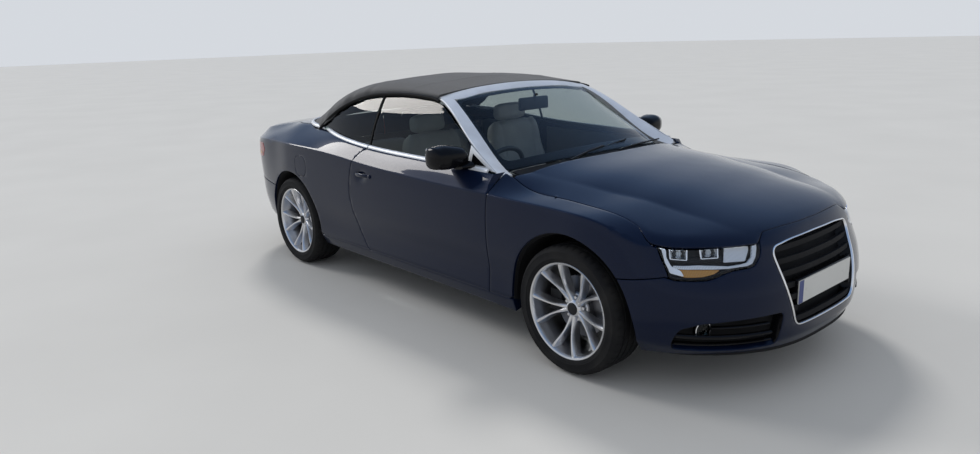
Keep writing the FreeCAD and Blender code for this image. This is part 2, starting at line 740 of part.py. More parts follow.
post = join([post] + arms).cut(fender)
firewall = join([firewall] + both_sides(post))
for piece in both_sides(fender) + both_sides(sill):
    firewall = firewall.cut(piece)
firewall = main_solids(firewall)

cowl_rows = [
    (0, (960, 952), (1030, 940)),
    (200, (952, 949), (1018, 938)),
    (380, (925, 941), (990, 926)),
    (530, (880, 927), (962, 906)),
    (620, (838, 914), (925, 897)),
    (655, (818, 906), (917, 894)),
]
cowl_depth = 16.0
cowl_sections = [[(firewall_x, y, firewall_top), (rear[0], y, rear[1]), (front[0], y, front[1]),
                  (front[0], y, max(front[1] - cowl_depth, firewall_top + 2)),
                  (firewall_x + firewall_depth, y, firewall_top)] for y, rear, front in cowl_rows]
cowl_sections = [[(x, -y, z) for x, y, z in part] for part in cowl_sections[:0:-1]] + cowl_sections
cowl = loft(cowl_sections)

# Floor pan with tunnel, heel board, rear seat pan and bulkhead
floor_z = 215.0
floor_skin = floor_top - floor_z
cabin_y = 755.0
heel_x = -560.0
boot_y = 630.0
hat = box(heel_x, firewall_x, -tunnel_y, tunnel_y, floor_z, tunnel_z)
hat_hollow = box(-700, firewall_x + 1, -tunnel_y + 15, tunnel_y - 15, floor_z - 1, tunnel_z - 15)
boot_z = 330.0
boot_skin = 15.0
bulkhead_x = -1015.0
floor = box(heel_x, firewall_x, -cabin_y, cabin_y, floor_z, floor_z + floor_skin)
heel_board = box(heel_x - boot_skin, heel_x, -cabin_y, cabin_y, floor_z, boot_z + boot_skin)
seat_pan = box(bulkhead_x, heel_x - boot_skin, -boot_y, boot_y, boot_z, boot_z + boot_skin)
bulkhead = box(bulkhead_x, bulkhead_x + boot_skin, -boot_y, boot_y, boot_z, 930)
floor_pan = join([floor, hat, heel_board, seat_pan, bulkhead]).cut(hat_hollow)
toe = box(firewall_x, firewall_x + firewall_depth, -cabin_y, cabin_y, floor_z, floor_top)
floor_pan = join([floor_pan, toe.cut(tunnel_room)])

rear_house = 384.0
rear_house_y = 634.0
rear_side = housing(rear_axle_x, rear_house, rear_house_y - 4, 912, 245, 312)
rear_side = rear_side.common(core(at_side(-880), at_rear(66), 8)).cut(quarter).cut(sill)
boot_floor = box(-2190, bulkhead_x, -rear_house_y, rear_house_y, boot_z, boot_z + boot_skin)
rear_panel = box(-2205, -2190, -560, 560, boot_z, 585)
rear_floor = join([boot_floor, rear_panel] + both_sides(rear_side))
bumper_mount = box(-2262, -2205, 300, 340, 500, 520)
rear_floor = main_solids(join([rear_floor] + both_sides(bumper_mount)).cut(rear_bumper))

# Cabin
dash_outline = [(600, 600), (575, 760), (640, 850), (790, 885), (firewall_x, 880), (firewall_x, 600)]
dashboard = prism_side(dash_outline, -650, 650).cut(cowl)
column_way = V(math.cos(math.radians(wheel_tilt)), 0, -math.sin(math.radians(wheel_tilt)))
column_back = 22.0
column_start = wheel_centre + column_way * column_back
column = Part.makeCylinder(24, 260, column_start, column_way)
dashboard = join([dashboard, column])

seat_width = 500.0
seat_y = 372.0
seat_cushion = bar([(-190, 300), (-190, 470), (-100, 455), (320, 490), (345, 440), (330, 300)], seat_width, seat_y)
back_outline = [(-190, 400), (-100, 455), (-110, 560), (-235, 1000), (-320, 1000), (-250, 440)]
seat_back = bar(back_outline, seat_width - 40, seat_y)
rest_outline = [(-255, 1000), (-250, 1020), (-262, 1125), (-335, 1125), (-345, 1020), (-310, 1000)]
head_rest = bar(rest_outline, 260, seat_y)
seat_base = bar([(-150, floor_top), (-150, 300), (280, 300), (280, floor_top)], seat_width - 120, seat_y)
front_seat = join([seat_cushion, seat_back, head_rest, seat_base])
front_seats = Part.makeCompound(both_sides(front_seat))

rear_cushion = bar([(-940, 345), (-940, 480), (-560, 520), (-500, 500), (-500, 360), (-560, 345)], 1120, 0)
rear_cushion = rear_cushion.cut(floor_pan)
rear_back = bar([(-1000, 400), (-900, 460), (-900, 560), (-960, 900), (-1000, 900)], 1120, 0)
rear_seat = join([rear_cushion, rear_back])
console = join([box(-120, 590, -105, 105, tunnel_z, 560), box(-400, -120, -105, 105, tunnel_z, 520)])
console = console.cut(dashboard)

# Engine and gearbox, exhaust
engine = join([box(1150, 1800, -300, 300, 260, 740), box(1450, 1520, -430, 430, 430, 480),
               box(500, 1150, -88, 88, 262, 372)])
pipe_z = 200.0
tail_pipe_y = 400.0
tail_pipe_z = 284.0
tail_pipe = 40.0
tails = [cylinder((-2060, side * tail_pipe_y, tail_pipe_z), (-1, 0, 0), tail_pipe, 225) for side in (1, -1)]
bores = [cylinder((-2180, side * tail_pipe_y, tail_pipe_z), (-1, 0, 0), tail_pipe - 4, 200) for side in (1, -1)]
tails = [tail.cut(bore) for tail, bore in zip(tails, bores)]
long_pipe = cylinder((700, -50, pipe_z), (-1, 0, 0), 26, 2500)
silencer = box(-2100, -1760, -440, 440, 212, boot_z)
exhaust = join([long_pipe, silencer] + tails)
for side in (1, -1):
    room = cylinder((-2000, side * tail_pipe_y, tail_pipe_z), (-1, 0, 0), tail_pipe + clear, 400)
    rear_bumper = rear_bumper.cut(room)

# Front axle: subframe and arms with eyes for the kingpins, and the knuckles
arm_depth = 24.0
lower_z = floor_z
upper_z = 413.0
kingpin = 12.0


def eye_arm(root_y, z):
    """An arm from the frame that narrows to an eye round the kingpin."""
    ax = front_axle_x
    outline = [(ax - 55, root_y), (ax + 55, root_y), (ax + 22, kingpin_y), (ax - 22, kingpin_y)]
    arm = prism_plan(outline, z, z + arm_depth)
    arm = arm.fuse(cylinder((ax, kingpin_y, z), (0, 0, 1), 26, arm_depth))
    return arm.cut(cylinder((ax, kingpin_y, z - 10), (0, 0, 1), kingpin + run_gap, arm_depth + 20))


subframe = box(1340, 1560, -470, 470, floor_z, 260)
leg = box(1350, 1390, 432, 470, 260, 420)
front_axle = join([subframe] + both_sides(leg) + both_sides(eye_arm(465, lower_z)))
front_axle = Part.makeCompound([front_axle] + both_sides(eye_arm(485, upper_z)))

disc_radius = 155.0
disc_depth = 24.0
hub_radius = 72.0
hub_in = -24.0
hub_out = 52.0
spindle = 20.0


stub_size = 5 + clear + 46


def knuckle_at(x, y_mid, pivot_y):
    """The part that holds a front wheel, on its kingpin, with the brake's caliper round the disc."""
    face = y_mid + hub_in - clear
    body = box(x - 45, x + 45, pivot_y - 22, face, lower_z + arm_depth + clear, upper_z - clear)
    pin = cylinder((x, pivot_y, lower_z), (0, 0, 1), kingpin, upper_z + arm_depth - lower_z)
    stub = cylinder((x, face - 5, axle_z), (0, 1, 0), spindle, stub_size)
    caliper = box(x - 185, x - 112, face - 28, y_mid + 18, axle_z - 55, axle_z + 55)
    slot = cylinder((x, face - 1, axle_z), (0, 1, 0), disc_radius + clear, disc_depth + 2 * clear + 1)
    bridge = box(x - 150, x - 40, face - 26, face - 1, axle_z - 30, axle_z + 30)
    return join([body, pin, stub, caliper.cut(slot), bridge])


knuckle = knuckle_at(front_axle_x, front_wheel_y, kingpin_y)

rear_hub_y = rear_wheel_y + hub_in - clear
carrier = cylinder((rear_axle_x, rear_hub_y - 40, axle_z), (0, 1, 0), 60, 40)
rear_stub = cylinder((rear_axle_x, rear_hub_y - 5, axle_z), (0, 1, 0), spindle, stub_size)
rear_arm = box(rear_axle_x - 35, rear_axle_x + 35, 470, rear_hub_y - 1, 272, 300)
rear_beam = box(rear_axle_x - 75, rear_axle_x + 75, -480, 480, 240, 300)
rear_leg = box(rear_axle_x - 20, rear_axle_x + 20, 380, 420, 300, boot_z)
rear_axle = join([rear_beam] + both_sides(join([carrier, rear_stub, rear_arm])) + both_sides(rear_leg))

# Wheels, made for the left side at the origin with +Y outwards
barrel_half = 116.0
barrel_skin = 16.0
spoke_pairs = 5
# Each spoke of a pair, seen from outside: (along the wheel's radius, across it)
spoke_outline = [(40, 3), (100, 13), (160, 24), (222, 42), (222, 66), (160, 46), (100, 34), (40, 30)]
# The spokes' thickness, as (width from the wheel's middle, radius)
spoke_dish = [(46, 40), (60, 222), (96, 222), (92, 160), (82, 100), (70, 40)]


def rim():
    """Barrel, hub, brake disc and five pairs of spokes that spread towards the barrel."""
    barrel = cylinder((0, -barrel_half, 0), (0, 1, 0), rim_radius, 2 * barrel_half)
    barrel = barrel.cut(cylinder((0, -barrel_half, 0), (0, 1, 0), rim_radius - barrel_skin, 2 * barrel_half))
    hub = cylinder((0, hub_in, 0), (0, 1, 0), hub_radius, hub_out + 18 - hub_in)
    bore = cylinder((0, hub_in, 0), (0, 1, 0), spindle + run_gap, hub_out - hub_in)
    disc = cylinder((0, hub_in, 0), (0, 1, 0), disc_radius, disc_depth)
    dish = turned([(r, w, 0) for w, r in spoke_dish], (0, 0, 0), (0, 1, 0))
    blades = []
    for k in range(spoke_pairs):
        for side in (-1, 1):
            blade = prism_side([(side * t, r) for r, t in spoke_outline], 0, barrel_half)
            blade.rotate(V(0, 0, 0), V(0, 1, 0), k * 360 / spoke_pairs)
            blades.append(blade)
    spokes = [dish.common(blade) for blade in blades]
    return join([barrel, hub, disc] + spokes).cut(bore)


# The tyre's section, as (radius, width from the wheel's middle)
tyre_profile = [(rim_radius, 112), (rim_radius, 92), (244, 92), (262, 106), (292, 108), (309, 92), (312, 60),
                (312, -60), (309, -92), (292, -108), (262, -106), (244, -92), (rim_radius, -92),
                (rim_radius, -112), (240, -119), (268, -tyre_half), (298, -119), (317, -108), (325, -88),
                (tyre_radius, -60), (tyre_radius, 60), (325, 88), (317, 108), (298, 119), (268, tyre_half),
                (240, 119)]


def tyre():
    points = [(r, w, 0) for r, w in tyre_profile]
    return turned(points, (0, 0, 0), (0, 1, 0))


rim_shape = rim()
tyre_shape = tyre()

# Steering wheel, axis towards the driver
spin = V(-column_way.x, 0, -column_way.z)
ring = Part.makeTorus(wheel_rim, 15, wheel_centre, spin)
boss = Part.makeCylinder(46, 40, wheel_centre + column_way * (column_back - seat_gap), spin)
steer_parts = [ring, boss]
across = V(0, 1, 0)
upward = spin.cross(across)
for way in (across, across * -1, upward * -1 if upward.z > 0 else upward):
    steer_parts.append(Part.makeCylinder(12, wheel_rim, wheel_centre, way))
steering_wheel = join(steer_parts)

# Mirrors: sections across the head (y, then x and z of its low and high corners, and the corners' cut)
mirror_rows = [
    (842, (556, 940), (632, 1030), 26),
    (858, (524, 926), (640, 1044), 30),
    (900, (508, 921), (642, 1050), 34),
    (960, (506, 922), (630, 1050), 36),
    (990, (512, 930), (606, 1044), 34),
    (1008, (530, 946), (578, 1028), 22),
]
mirror_sections = []
for y, (x0, z0), (x1, z1), cut in mirror_rows:
    ring = [(x0, z0 + cut), (x0 + cut, z0), (x1 - cut, z0), (x1, z0 + cut), (x1, z1 - cut), (x1 - cut, z1),
            (x0 + cut, z1), (x0, z1 - cut)]
    mirror_sections.append([(x, y, z) for x, z in ring])
mirror_foot = box(600, 690, 810, 850, 925, 965)
mirror = join([loft(mirror_sections), mirror_foot]).cut(door)

add_pair("fender", fender)
add_pair("sill", sill)
add_pair("quarter", quarter)
add_pair("door", door)
add_pair("door_glass", door_glass)
add_pair("mirror", mirror)
add_pair("knuckle", knuckle)
add("hood", hood)
add("boot_lid", lid)
add("lid_lamps", lid_lamps)
add("tail_lamps", Part.makeCompound(both_sides(tail_lamp)))
add("quarter_windows", Part.makeCompound(both_sides(quarter_glass)))
add("front_bumper", front_bumper)
add("rear_bumper", rear_bumper)
add("headlamps", Part.makeCompound(both_sides(headlamp)))
add("grille", grille)
add("front_plate", front_plate)
add("rear_plate", rear_plate)
add("windscreen", windscreen)
add("windscreen_frame", frame)
add("soft_top", soft_top)
add("rear_window", rear_glass)
add("tonneau_cover", tonneau)
add("front_frame", front_frame)
add("radiator", radiator)
add("firewall", firewall)
add("cowl", cowl)
add("floor_pan", floor_pan)
add("rear_floor", rear_floor)
add("dashboard", dashboard)
add("front_seats", front_seats)
add("rear_seat", rear_seat)
add("centre_console", console)
add("engine", engine)
add("exhaust", exhaust)
add("front_axle", front_axle)
add("rear_axle", rear_axle)
add("steering_wheel", steering_wheel)

for place, x, y in (("front", front_axle_x, front_wheel_y), ("rear", rear_axle_x, rear_wheel_y)):
    for name, shape in (("wheel", rim_shape), ("tyre", tyre_shape)):
        left = shape.copy()
        left.translate(V(x, y, axle_z))
        add(name + "_" + place + "_left", left)
        add(name + "_" + place + "_right", mirrored(left))

os.makedirs("parts", exist_ok=True)
for name, shape in parts.items():
    shape.exportStep("parts/" + name + ".step")
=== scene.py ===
"""The looks of a four-seat convertible car with its fabric top closed."""
import json
import math

import bmesh
import bpy
from mathutils import Matrix, Vector
from mathutils.geometry import delaunay_2d_cdt

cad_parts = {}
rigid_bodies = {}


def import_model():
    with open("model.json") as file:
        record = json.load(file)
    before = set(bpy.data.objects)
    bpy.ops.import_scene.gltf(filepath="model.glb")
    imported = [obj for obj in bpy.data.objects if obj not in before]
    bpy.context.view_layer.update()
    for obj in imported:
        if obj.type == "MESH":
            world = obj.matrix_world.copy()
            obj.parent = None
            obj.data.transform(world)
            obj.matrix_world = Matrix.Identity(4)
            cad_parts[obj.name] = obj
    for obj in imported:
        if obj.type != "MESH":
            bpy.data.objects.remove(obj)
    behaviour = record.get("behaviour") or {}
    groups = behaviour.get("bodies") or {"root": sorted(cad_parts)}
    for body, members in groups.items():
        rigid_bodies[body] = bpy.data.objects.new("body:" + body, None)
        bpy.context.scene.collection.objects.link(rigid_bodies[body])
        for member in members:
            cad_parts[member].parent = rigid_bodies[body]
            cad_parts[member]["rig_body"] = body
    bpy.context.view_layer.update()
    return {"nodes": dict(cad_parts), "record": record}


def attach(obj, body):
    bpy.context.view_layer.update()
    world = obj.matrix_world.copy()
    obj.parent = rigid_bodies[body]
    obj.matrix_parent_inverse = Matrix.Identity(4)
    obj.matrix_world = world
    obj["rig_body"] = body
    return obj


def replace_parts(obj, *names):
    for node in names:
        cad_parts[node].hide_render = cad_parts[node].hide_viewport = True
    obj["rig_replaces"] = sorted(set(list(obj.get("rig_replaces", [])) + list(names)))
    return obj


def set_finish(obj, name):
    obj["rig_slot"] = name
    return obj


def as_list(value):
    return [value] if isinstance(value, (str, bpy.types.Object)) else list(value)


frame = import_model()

# Sizes are in millimetres up to the making of a mesh, which is in metres.
MM = 0.001
ROOT = "root"

# Driving dimensions
length = 4626.0
wheelbase = 2751.0
front_overhang = 866.0
tyre_radius = 326.0
front_arch = 388.0
rear_arch = 378.0
corner_radius = 925.0
front_axle_x = length / 2 - front_overhang
rear_axle_x = front_axle_x - wheelbase
axle_z = tyre_radius
front_wheel_y = 795.0
rear_wheel_y = 788.5
panel_gap = 4.0
panel_round = 2.0
# How far the panels' hems run inwards, and the panes' thickness
side_hem, bumper_hem, lid_hem = 12.0, 22.0, 16.0
pane_depth = 4.0


# Curves

def spline(places, values):
    """A smooth curve through values at places, with straight ends."""
    n = len(places)
    step = [places[i + 1] - places[i] for i in range(n - 1)]
    low = [0.0] * n
    mid = [1.0] * n
    high = [0.0] * n
    right = [0.0] * n
    for i in range(1, n - 1):
        low[i] = step[i - 1]
        mid[i] = 2 * (step[i - 1] + step[i])
        high[i] = step[i]
        right[i] = 6 * ((values[i + 1] - values[i]) / step[i] - (values[i] - values[i - 1]) / step[i - 1])
    for i in range(1, n):
        m = low[i] / mid[i - 1]
        mid[i] -= m * high[i - 1]
        right[i] -= m * right[i - 1]
    bend = [0.0] * n
    for i in range(n - 2, -1, -1):
        bend[i] = (right[i] - high[i] * bend[i + 1]) / mid[i]

    def value(x):
        i = 0
        while i < n - 2 and x > places[i + 1]:
            i += 1
        t = x - places[i]
        h = step[i]
        slope = (values[i + 1] - values[i]) / h - h * (2 * bend[i] + bend[i + 1]) / 6
        return values[i] + t * slope + t * t * bend[i] / 2 + t ** 3 * (bend[i + 1] - bend[i]) / (6 * h)
    return value


def tracks(places, rows, columns):
    """Curves for both numbers of some columns of a table, over the places of its rows."""
    return [spline(places, [row[k][j] for row in rows]) for k in columns for j in (0, 1)]


def through(points, count):
    """A smooth line of count + 1 points through the given points, in any number of dimensions."""
    at = [0.0]
    for a, b in zip(points, points[1:]):
        at.append(at[-1] + math.dist(a, b))
    axes = [spline(at, [p[k] for p in points]) for k in range(len(points[0]))]
    return [tuple(axis(at[-1] * i / count) for axis in axes) for i in range(count + 1)]


def straight(points, step):
    """The points of a polyline, with more on its long runs."""
    out = []
    for a, b in zip(points, points[1:]):
        n = max(1, round(math.dist(a, b) / step))
        out += [tuple(p + (q - p) * k / n for p, q in zip(a, b)) for k in range(n)]
    return out + [tuple(points[-1])]


def filled(loop, step):
    """A closed loop, with more points on its long runs."""
    return straight(loop + loop[:1], step)[:-1]


def rounded(points, radius, closed=True, pieces=5):
    """A polyline with its corners rounded by a radius."""
    out = []
    n = len(points)
    for i in range(n):
        here = Vector(points[i])
        if not closed and i in (0, n - 1):
            out.append(tuple(here))
            continue
        back, on = Vector(points[i - 1]) - here, Vector(points[(i + 1) % n]) - here
        r = min(radius, back.length * 0.45, on.length * 0.45)
        a, b = here + back.normalized() * r, here + on.normalized() * r
        for k in range(pieces + 1):
            t = k / pieces
            out.append(tuple(a * (1 - t) ** 2 + here * (2 * t * (1 - t)) + b * t * t))
    return out


def mix(a, b, t):
    return a + (b - a) * t


def smooth_step(t):
    t = min(max(t, 0.0), 1.0)
    return t * t * (3 - 2 * t)


def bump_at(x, middle, width, power=2):
    """A smooth bump of height 1."""
    return math.exp(-((x - middle) / width) ** power)


def signed_power(value, power):
    return math.copysign(abs(value) ** power, value)


def circle(count):
    """(cosine, sine) of the steps of a turn."""
    angles = [2 * math.pi * k / count for k in range(count)]
    return [(math.cos(a), math.sin(a)) for a in angles]


def halving(low, high, is_past):
    """The place between two where a test begins to hold."""
    for _ in range(30):
        middle = (low + high) / 2
        if is_past(middle):
            high = middle
        else:
            low = middle
    return middle


# Materials

materials = {}


def shader(name, color, roughness, **sockets):
    """Makes a material with one Principled shader; returns its node tree and the shader."""
    made = bpy.data.materials.new(name)
    made.use_nodes = True
    tree = made.node_tree
    bsdf = tree.nodes["Principled BSDF"]
    bsdf.inputs["Base Color"].default_value = (*color, 1)
    bsdf.inputs["Roughness"].default_value = roughness
    for socket, value in sockets.items():
        bsdf.inputs[socket.replace("_", " ")].default_value = value
    materials[name] = made
    return tree, bsdf


def node(tree, kind, links=(), **values):
    """A shader node with input values, and links as (input, output socket)."""
    made = tree.nodes.new(kind)
    for key, value in values.items():
        if hasattr(made, key):
            setattr(made, key, value)
        else:
            made.inputs[key.replace("_", " ")].default_value = value
    for socket, source in links:
        tree.links.new(source, made.inputs[socket])
    return made


def place(tree, scale=(1, 1, 1)):
    """Object coordinates, stretched by a scale."""
    coords = node(tree, "ShaderNodeTexCoord")
    return node(tree, "ShaderNodeMapping", [("Vector", coords.outputs["Object"])], Scale=scale).outputs[0]


def noise(tree, where, scale, detail=3.0):
    return node(tree, "ShaderNodeTexNoise", [("Vector", where)], Scale=scale, Detail=detail).outputs["Fac"]


def ramp(tree, source, low, high, at=(0.35, 0.65)):
    """Two colours blended by a value."""
    made = node(tree, "ShaderNodeValToRGB", [("Fac", source)])
    made.color_ramp.elements[0].position = at[0]
    made.color_ramp.elements[1].position = at[1]
    made.color_ramp.elements[0].color = (*low, 1)
    made.color_ramp.elements[1].color = (*high, 1)
    return made.outputs[0]


def span(tree, source, low, high):
    """A value from 0 to 1, moved to the range low to high."""
    return node(tree, "ShaderNodeMapRange", [("Value", source)], To_Min=low, To_Max=high).outputs[0]


def bump(tree, bsdf, height, strength, distance, after=None):
    """Relief from a value, over another relief where there is one."""
    links = [("Height", height)] + ([("Normal", after)] if after else [])
    made = node(tree, "ShaderNodeBump", links, Strength=strength, Distance=distance)
    tree.links.new(made.outputs[0], bsdf.inputs["Normal"])
    return made.outputs[0]


def feed(tree, bsdf, socket, source):
    tree.links.new(source, bsdf.inputs[socket])


def make_paint():
    t, b = shader("body_paint", (0.008, 0.016, 0.045), 0.36, Metallic=0.2, Specular_IOR_Level=0.06,
                     Coat_Weight=1.0, Coat_Roughness=0.02, Coat_IOR=1.24)
    where = place(t)
    flakes = node(t, "ShaderNodeTexVoronoi", [("Vector", where)], Scale=2200.0).outputs["Color"]
    grey = node(t, "ShaderNodeSeparateColor", [("Color", flakes)]).outputs[0]
    feed(t, b, "Base Color", ramp(t, grey, (0.002, 0.005, 0.018), (0.005, 0.012, 0.040), (0.1, 0.95)))
    feed(t, b, "Roughness", span(t, noise(t, where, 9.0), 0.28, 0.36))
    peel = bump(t, b, noise(t, where, 260.0, 1.0), 0.02, 0.0004)
    feed(t, b, "Coat Normal", peel)


def make_fabric():
    t, b = shader("fabric_top", (0.05, 0.05, 0.055), 0.92, Sheen_Weight=0.25, Sheen_Roughness=0.6)
    where = place(t)
    warp = node(t, "ShaderNodeTexWave", [("Vector", where)], bands_direction="X", Scale=190.0, Distortion=0.6)
    weft = node(t, "ShaderNodeTexWave", [("Vector", where)], bands_direction="Y", Scale=190.0, Distortion=0.6)
    weave = node(t, "ShaderNodeMath", [(0, warp.outputs["Fac"]), (1, weft.outputs["Fac"])],
                 operation="MULTIPLY")
    faded = noise(t, where, 3.2, 6.0)
    base = ramp(t, faded, (0.050, 0.051, 0.054), (0.105, 0.107, 0.110), (0.3, 0.72))
    dark = node(t, "ShaderNodeMixRGB", [("Fac", weave.outputs[0]), ("Color2", base)],
                Color1=(0.034, 0.034, 0.036, 1))
    feed(t, b, "Base Color", dark.outputs[0])
    first = bump(t, b, weave.outputs[0], 0.35, 0.0006)
    bump(t, b, noise(t, where, 14.0, 4.0), 0.12, 0.004, first)


def make_glass(name, color):
    """A thin pane: it doesn't bend what is seen through it, and its coat gives the gloss."""
    t, b = shader(name, color, 0.0, Transmission_Weight=1.0, IOR=1.01, Coat_Weight=1.0, Coat_Roughness=0.0,
                     Coat_IOR=1.3)
    where = place(t)
    feed(t, b, "Roughness", span(t, noise(t, where, 5.0), 0.0, 0.012))
    way = node(t, "ShaderNodeLightPath")
    clear = node(t, "ShaderNodeBsdfTransparent", Color=(*color, 1))
    both = node(t, "ShaderNodeMixShader", [(0, way.outputs["Is Shadow Ray"]), (1, b.outputs[0]),
                                           (2, clear.outputs[0])])
    t.links.new(both.outputs[0], t.nodes["Material Output"].inputs["Surface"])


def make_metal(name, color, roughness, grain=(1, 1, 1), wear=0.08, metallic=1.0, **more):
    t, b = shader(name, color, roughness, Metallic=metallic, **more)
    where = place(t, grain)
    fine = noise(t, where, 120.0, 4.0)
    feed(t, b, "Roughness", span(t, fine, roughness - wear, roughness + wear))
    darker = tuple(c * 0.88 for c in color)
    feed(t, b, "Base Color", ramp(t, noise(t, place(t), 7.0), darker, color))
    bump(t, b, fine, 0.04, 0.0004)


def make_plastic(name, color, roughness, grain_scale=700.0, grain=0.25, lift=1.6, **more):
    t, b = shader(name, color, roughness, **more)
    where = place(t)
    cells = node(t, "ShaderNodeTexVoronoi", [("Vector", where)], Scale=grain_scale).outputs["Distance"]
    feed(t, b, "Base Color", ramp(t, noise(t, where, 6.0), color, tuple(c * lift for c in color), (0.3, 0.9)))
    feed(t, b, "Roughness", span(t, noise(t, where, 18.0), roughness - 0.05, roughness + 0.06))
    bump(t, b, cells, grain, 0.0005)


def make_tyre():
    t, b = shader("tyre", (0.014, 0.014, 0.015), 0.7, Specular_IOR_Level=0.18)
    where = place(t)
    dust = noise(t, where, 9.0, 5.0)
    feed(t, b, "Base Color", ramp(t, dust, (0.010, 0.010, 0.011), (0.026, 0.025, 0.024), (0.4, 0.85)))
    feed(t, b, "Roughness", span(t, dust, 0.68, 0.9))
    bump(t, b, noise(t, where, 420.0, 3.0), 0.25, 0.0006)


def make_leather(name, color, scale=330.0):
    t, b = shader(name, color, 0.5, Sheen_Weight=0.08)
    where = place(t)
    cells = node(t, "ShaderNodeTexVoronoi", [("Vector", where)], feature="DISTANCE_TO_EDGE", Scale=scale)
    grain = span(t, cells.outputs["Distance"], 0.0, 2.0)
    feed(t, b, "Base Color", ramp(t, noise(t, where, 5.0, 4.0), tuple(c * 0.82 for c in color), color))
    feed(t, b, "Roughness", span(t, noise(t, where, 22.0), 0.42, 0.6))
    bump(t, b, grain, 0.3, 0.0006)


def make_lamp(name, color, roughness):
    t, b = shader(name, color, roughness, Transmission_Weight=0.12, IOR=1.4, Coat_Weight=0.4)
    where = place(t)
    ribs = node(t, "ShaderNodeTexWave", [("Vector", where)], bands_direction="Y", Scale=60.0, Distortion=0.0)
    feed(t, b, "Base Color", ramp(t, ribs.outputs["Fac"], tuple(c * 0.7 for c in color), color))
    bump(t, b, ribs.outputs["Fac"], 0.25, 0.001)


def make_materials():
    make_paint()
    make_fabric()
    make_glass("glass", (0.60, 0.68, 0.68))
    make_glass("side_tint", (0.20, 0.245, 0.225))
    make_glass("lamp_clear", (0.93, 0.95, 0.96))
    make_metal("bright_trim", (0.82, 0.84, 0.87), 0.42, (0.15, 4, 4), 0.05, 0.4)
    make_metal("chrome", (0.86, 0.86, 0.87), 0.08, wear=0.03)
    make_metal("alloy", (0.66, 0.66, 0.67), 0.30, wear=0.05, Coat_Weight=0.7, Coat_Roughness=0.08)
    make_metal("steel_part", (0.30, 0.30, 0.31), 0.45)
    # Painted shade: the brake disc and the cast parts, such as the knuckles, are coloured darker than bare
    # iron, as they look in the shade behind the wheels.
    make_metal("disc", (0.20, 0.20, 0.21), 0.42, (8, 1, 8))
    make_metal("cast_part", (0.045, 0.045, 0.047), 0.6, metallic=0.5, Specular_IOR_Level=0.2)
    make_plastic("black_structure", (0.010, 0.010, 0.011), 0.7, 300.0, 0.1, Specular_IOR_Level=0.15)
    make_plastic("dark_plastic", (0.012, 0.012, 0.013), 0.55, Specular_IOR_Level=0.25)
    make_plastic("gloss_black", (0.004, 0.004, 0.005), 0.10, 400.0, 0.01, Specular_IOR_Level=0.16)
    make_plastic("rubber_seal", (0.007, 0.007, 0.007), 0.65, 900.0, 0.15, Specular_IOR_Level=0.15)
    make_plastic("carpet", (0.045, 0.045, 0.047), 0.95, 1200.0, 0.9)
    make_plastic("plate_white", (0.62, 0.62, 0.60), 0.35, 900.0, 0.05, 1.08)
    make_plastic("plate_blue", (0.01, 0.03, 0.18), 0.35, 900.0, 0.05, 1.1)
    make_tyre()
    make_leather("seat_leather", (0.40, 0.385, 0.36))
    make_leather("wheel_leather", (0.022, 0.022, 0.023), 420.0)
    make_leather("trim_leather", (0.030, 0.030, 0.032), 380.0)
    make_lamp("lamp_red", (0.34, 0.006, 0.010), 0.08)
    make_lamp("lamp_amber", (0.62, 0.29, 0.05), 0.1)
    make_lamp("lamp_white", (0.85, 0.87, 0.90), 0.08)


# Making of pieces

def placed(name, data):
    """A new object in the scene."""
    made = bpy.data.objects.new(name, data)
    bpy.context.scene.collection.objects.link(made)
    return made


def piece(name, verts, faces, material, body=ROOT, smooth=35.0, replaces=(), outwards=False):
    """A mesh piece from points in millimetres, riding on a body. A piece of closed shells may have its faces
    turned outwards."""
    data = bpy.data.meshes.new(name)
    data.from_pydata([(x * MM, y * MM, z * MM) for x, y, z in verts], [], faces)
    data.validate()
    data.update()
    made = dressed(name, data, material, body, smooth, replaces)
    if outwards:
        straighten(made)
    return made


def dressed(name, data, material, body=ROOT, smooth=35.0, replaces=()):
    """A piece from a mesh, with its material, its body and the nodes that it stands for."""
    made = placed(name, data)
    data.materials.clear()
    data.materials.append(materials[material])
    for face in data.polygons:
        face.use_smooth = True
    data.set_sharp_from_angle(angle=math.radians(smooth))
    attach(made, body)
    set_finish(made, slots[material])
    if replaces:
        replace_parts(made, *replaces)
    return made


# The slot of each material, where several share one
slots = {name: name for name in (
    "body_paint", "black_structure", "fabric_top", "glass", "bright_trim", "chrome", "alloy", "tyre",
    "seat_leather",
    "dark_plastic", "gloss_black", "lamp_clear", "lamp_red", "steel_part", "cast_part", "wheel_leather")}
slots.update(disc="steel_part", rubber_seal="dark_plastic", carpet="fabric_top", trim_leather="wheel_leather",
             lamp_amber="lamp_clear", lamp_white="lamp_clear", side_tint="glass", plate_white="plate_white",
             plate_blue="plate_white")


def straighten(made):
    """Turns every face of closed shells outwards."""
    shape = bmesh.new()
    shape.from_mesh(made.data)
    bmesh.ops.recalc_face_normals(shape, faces=shape.faces)
    shape.to_mesh(made.data)
    shape.free()


def other_side(made, name, body=ROOT, replaces=()):
    """The mirror image of a piece, on the car's right."""
    data = made.data.copy()
    data.transform(Matrix.Diagonal((1, -1, 1, 1)))
    data.flip_normals()
    copy = placed(name, data)
    for mod in made.modifiers:
        same = copy.modifiers.new(mod.name, mod.type)
        for key in ("thickness", "offset"):
            setattr(same, key, getattr(mod, key))
    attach(copy, body)
    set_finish(copy, made["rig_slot"])
    if replaces:
        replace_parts(copy, *replaces)


def both_sides(made):
    """Gives a left piece its mirror image, with the right's name, body and nodes."""
    name, body = [word.replace("left", "right") for word in (made.name, made["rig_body"])]
    nodes = [node_name for node_name in made.get("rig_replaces", []) if "left" in node_name]
    other_side(made, name, body, [node_name.replace("left", "right") for node_name in nodes])


def thick(made, depth):
    """Gives a sheet a thickness, in millimetres, behind its face."""
    mod = made.modifiers.new("thick", "SOLIDIFY")
    mod.thickness = depth * MM
    mod.offset = -1
    return made


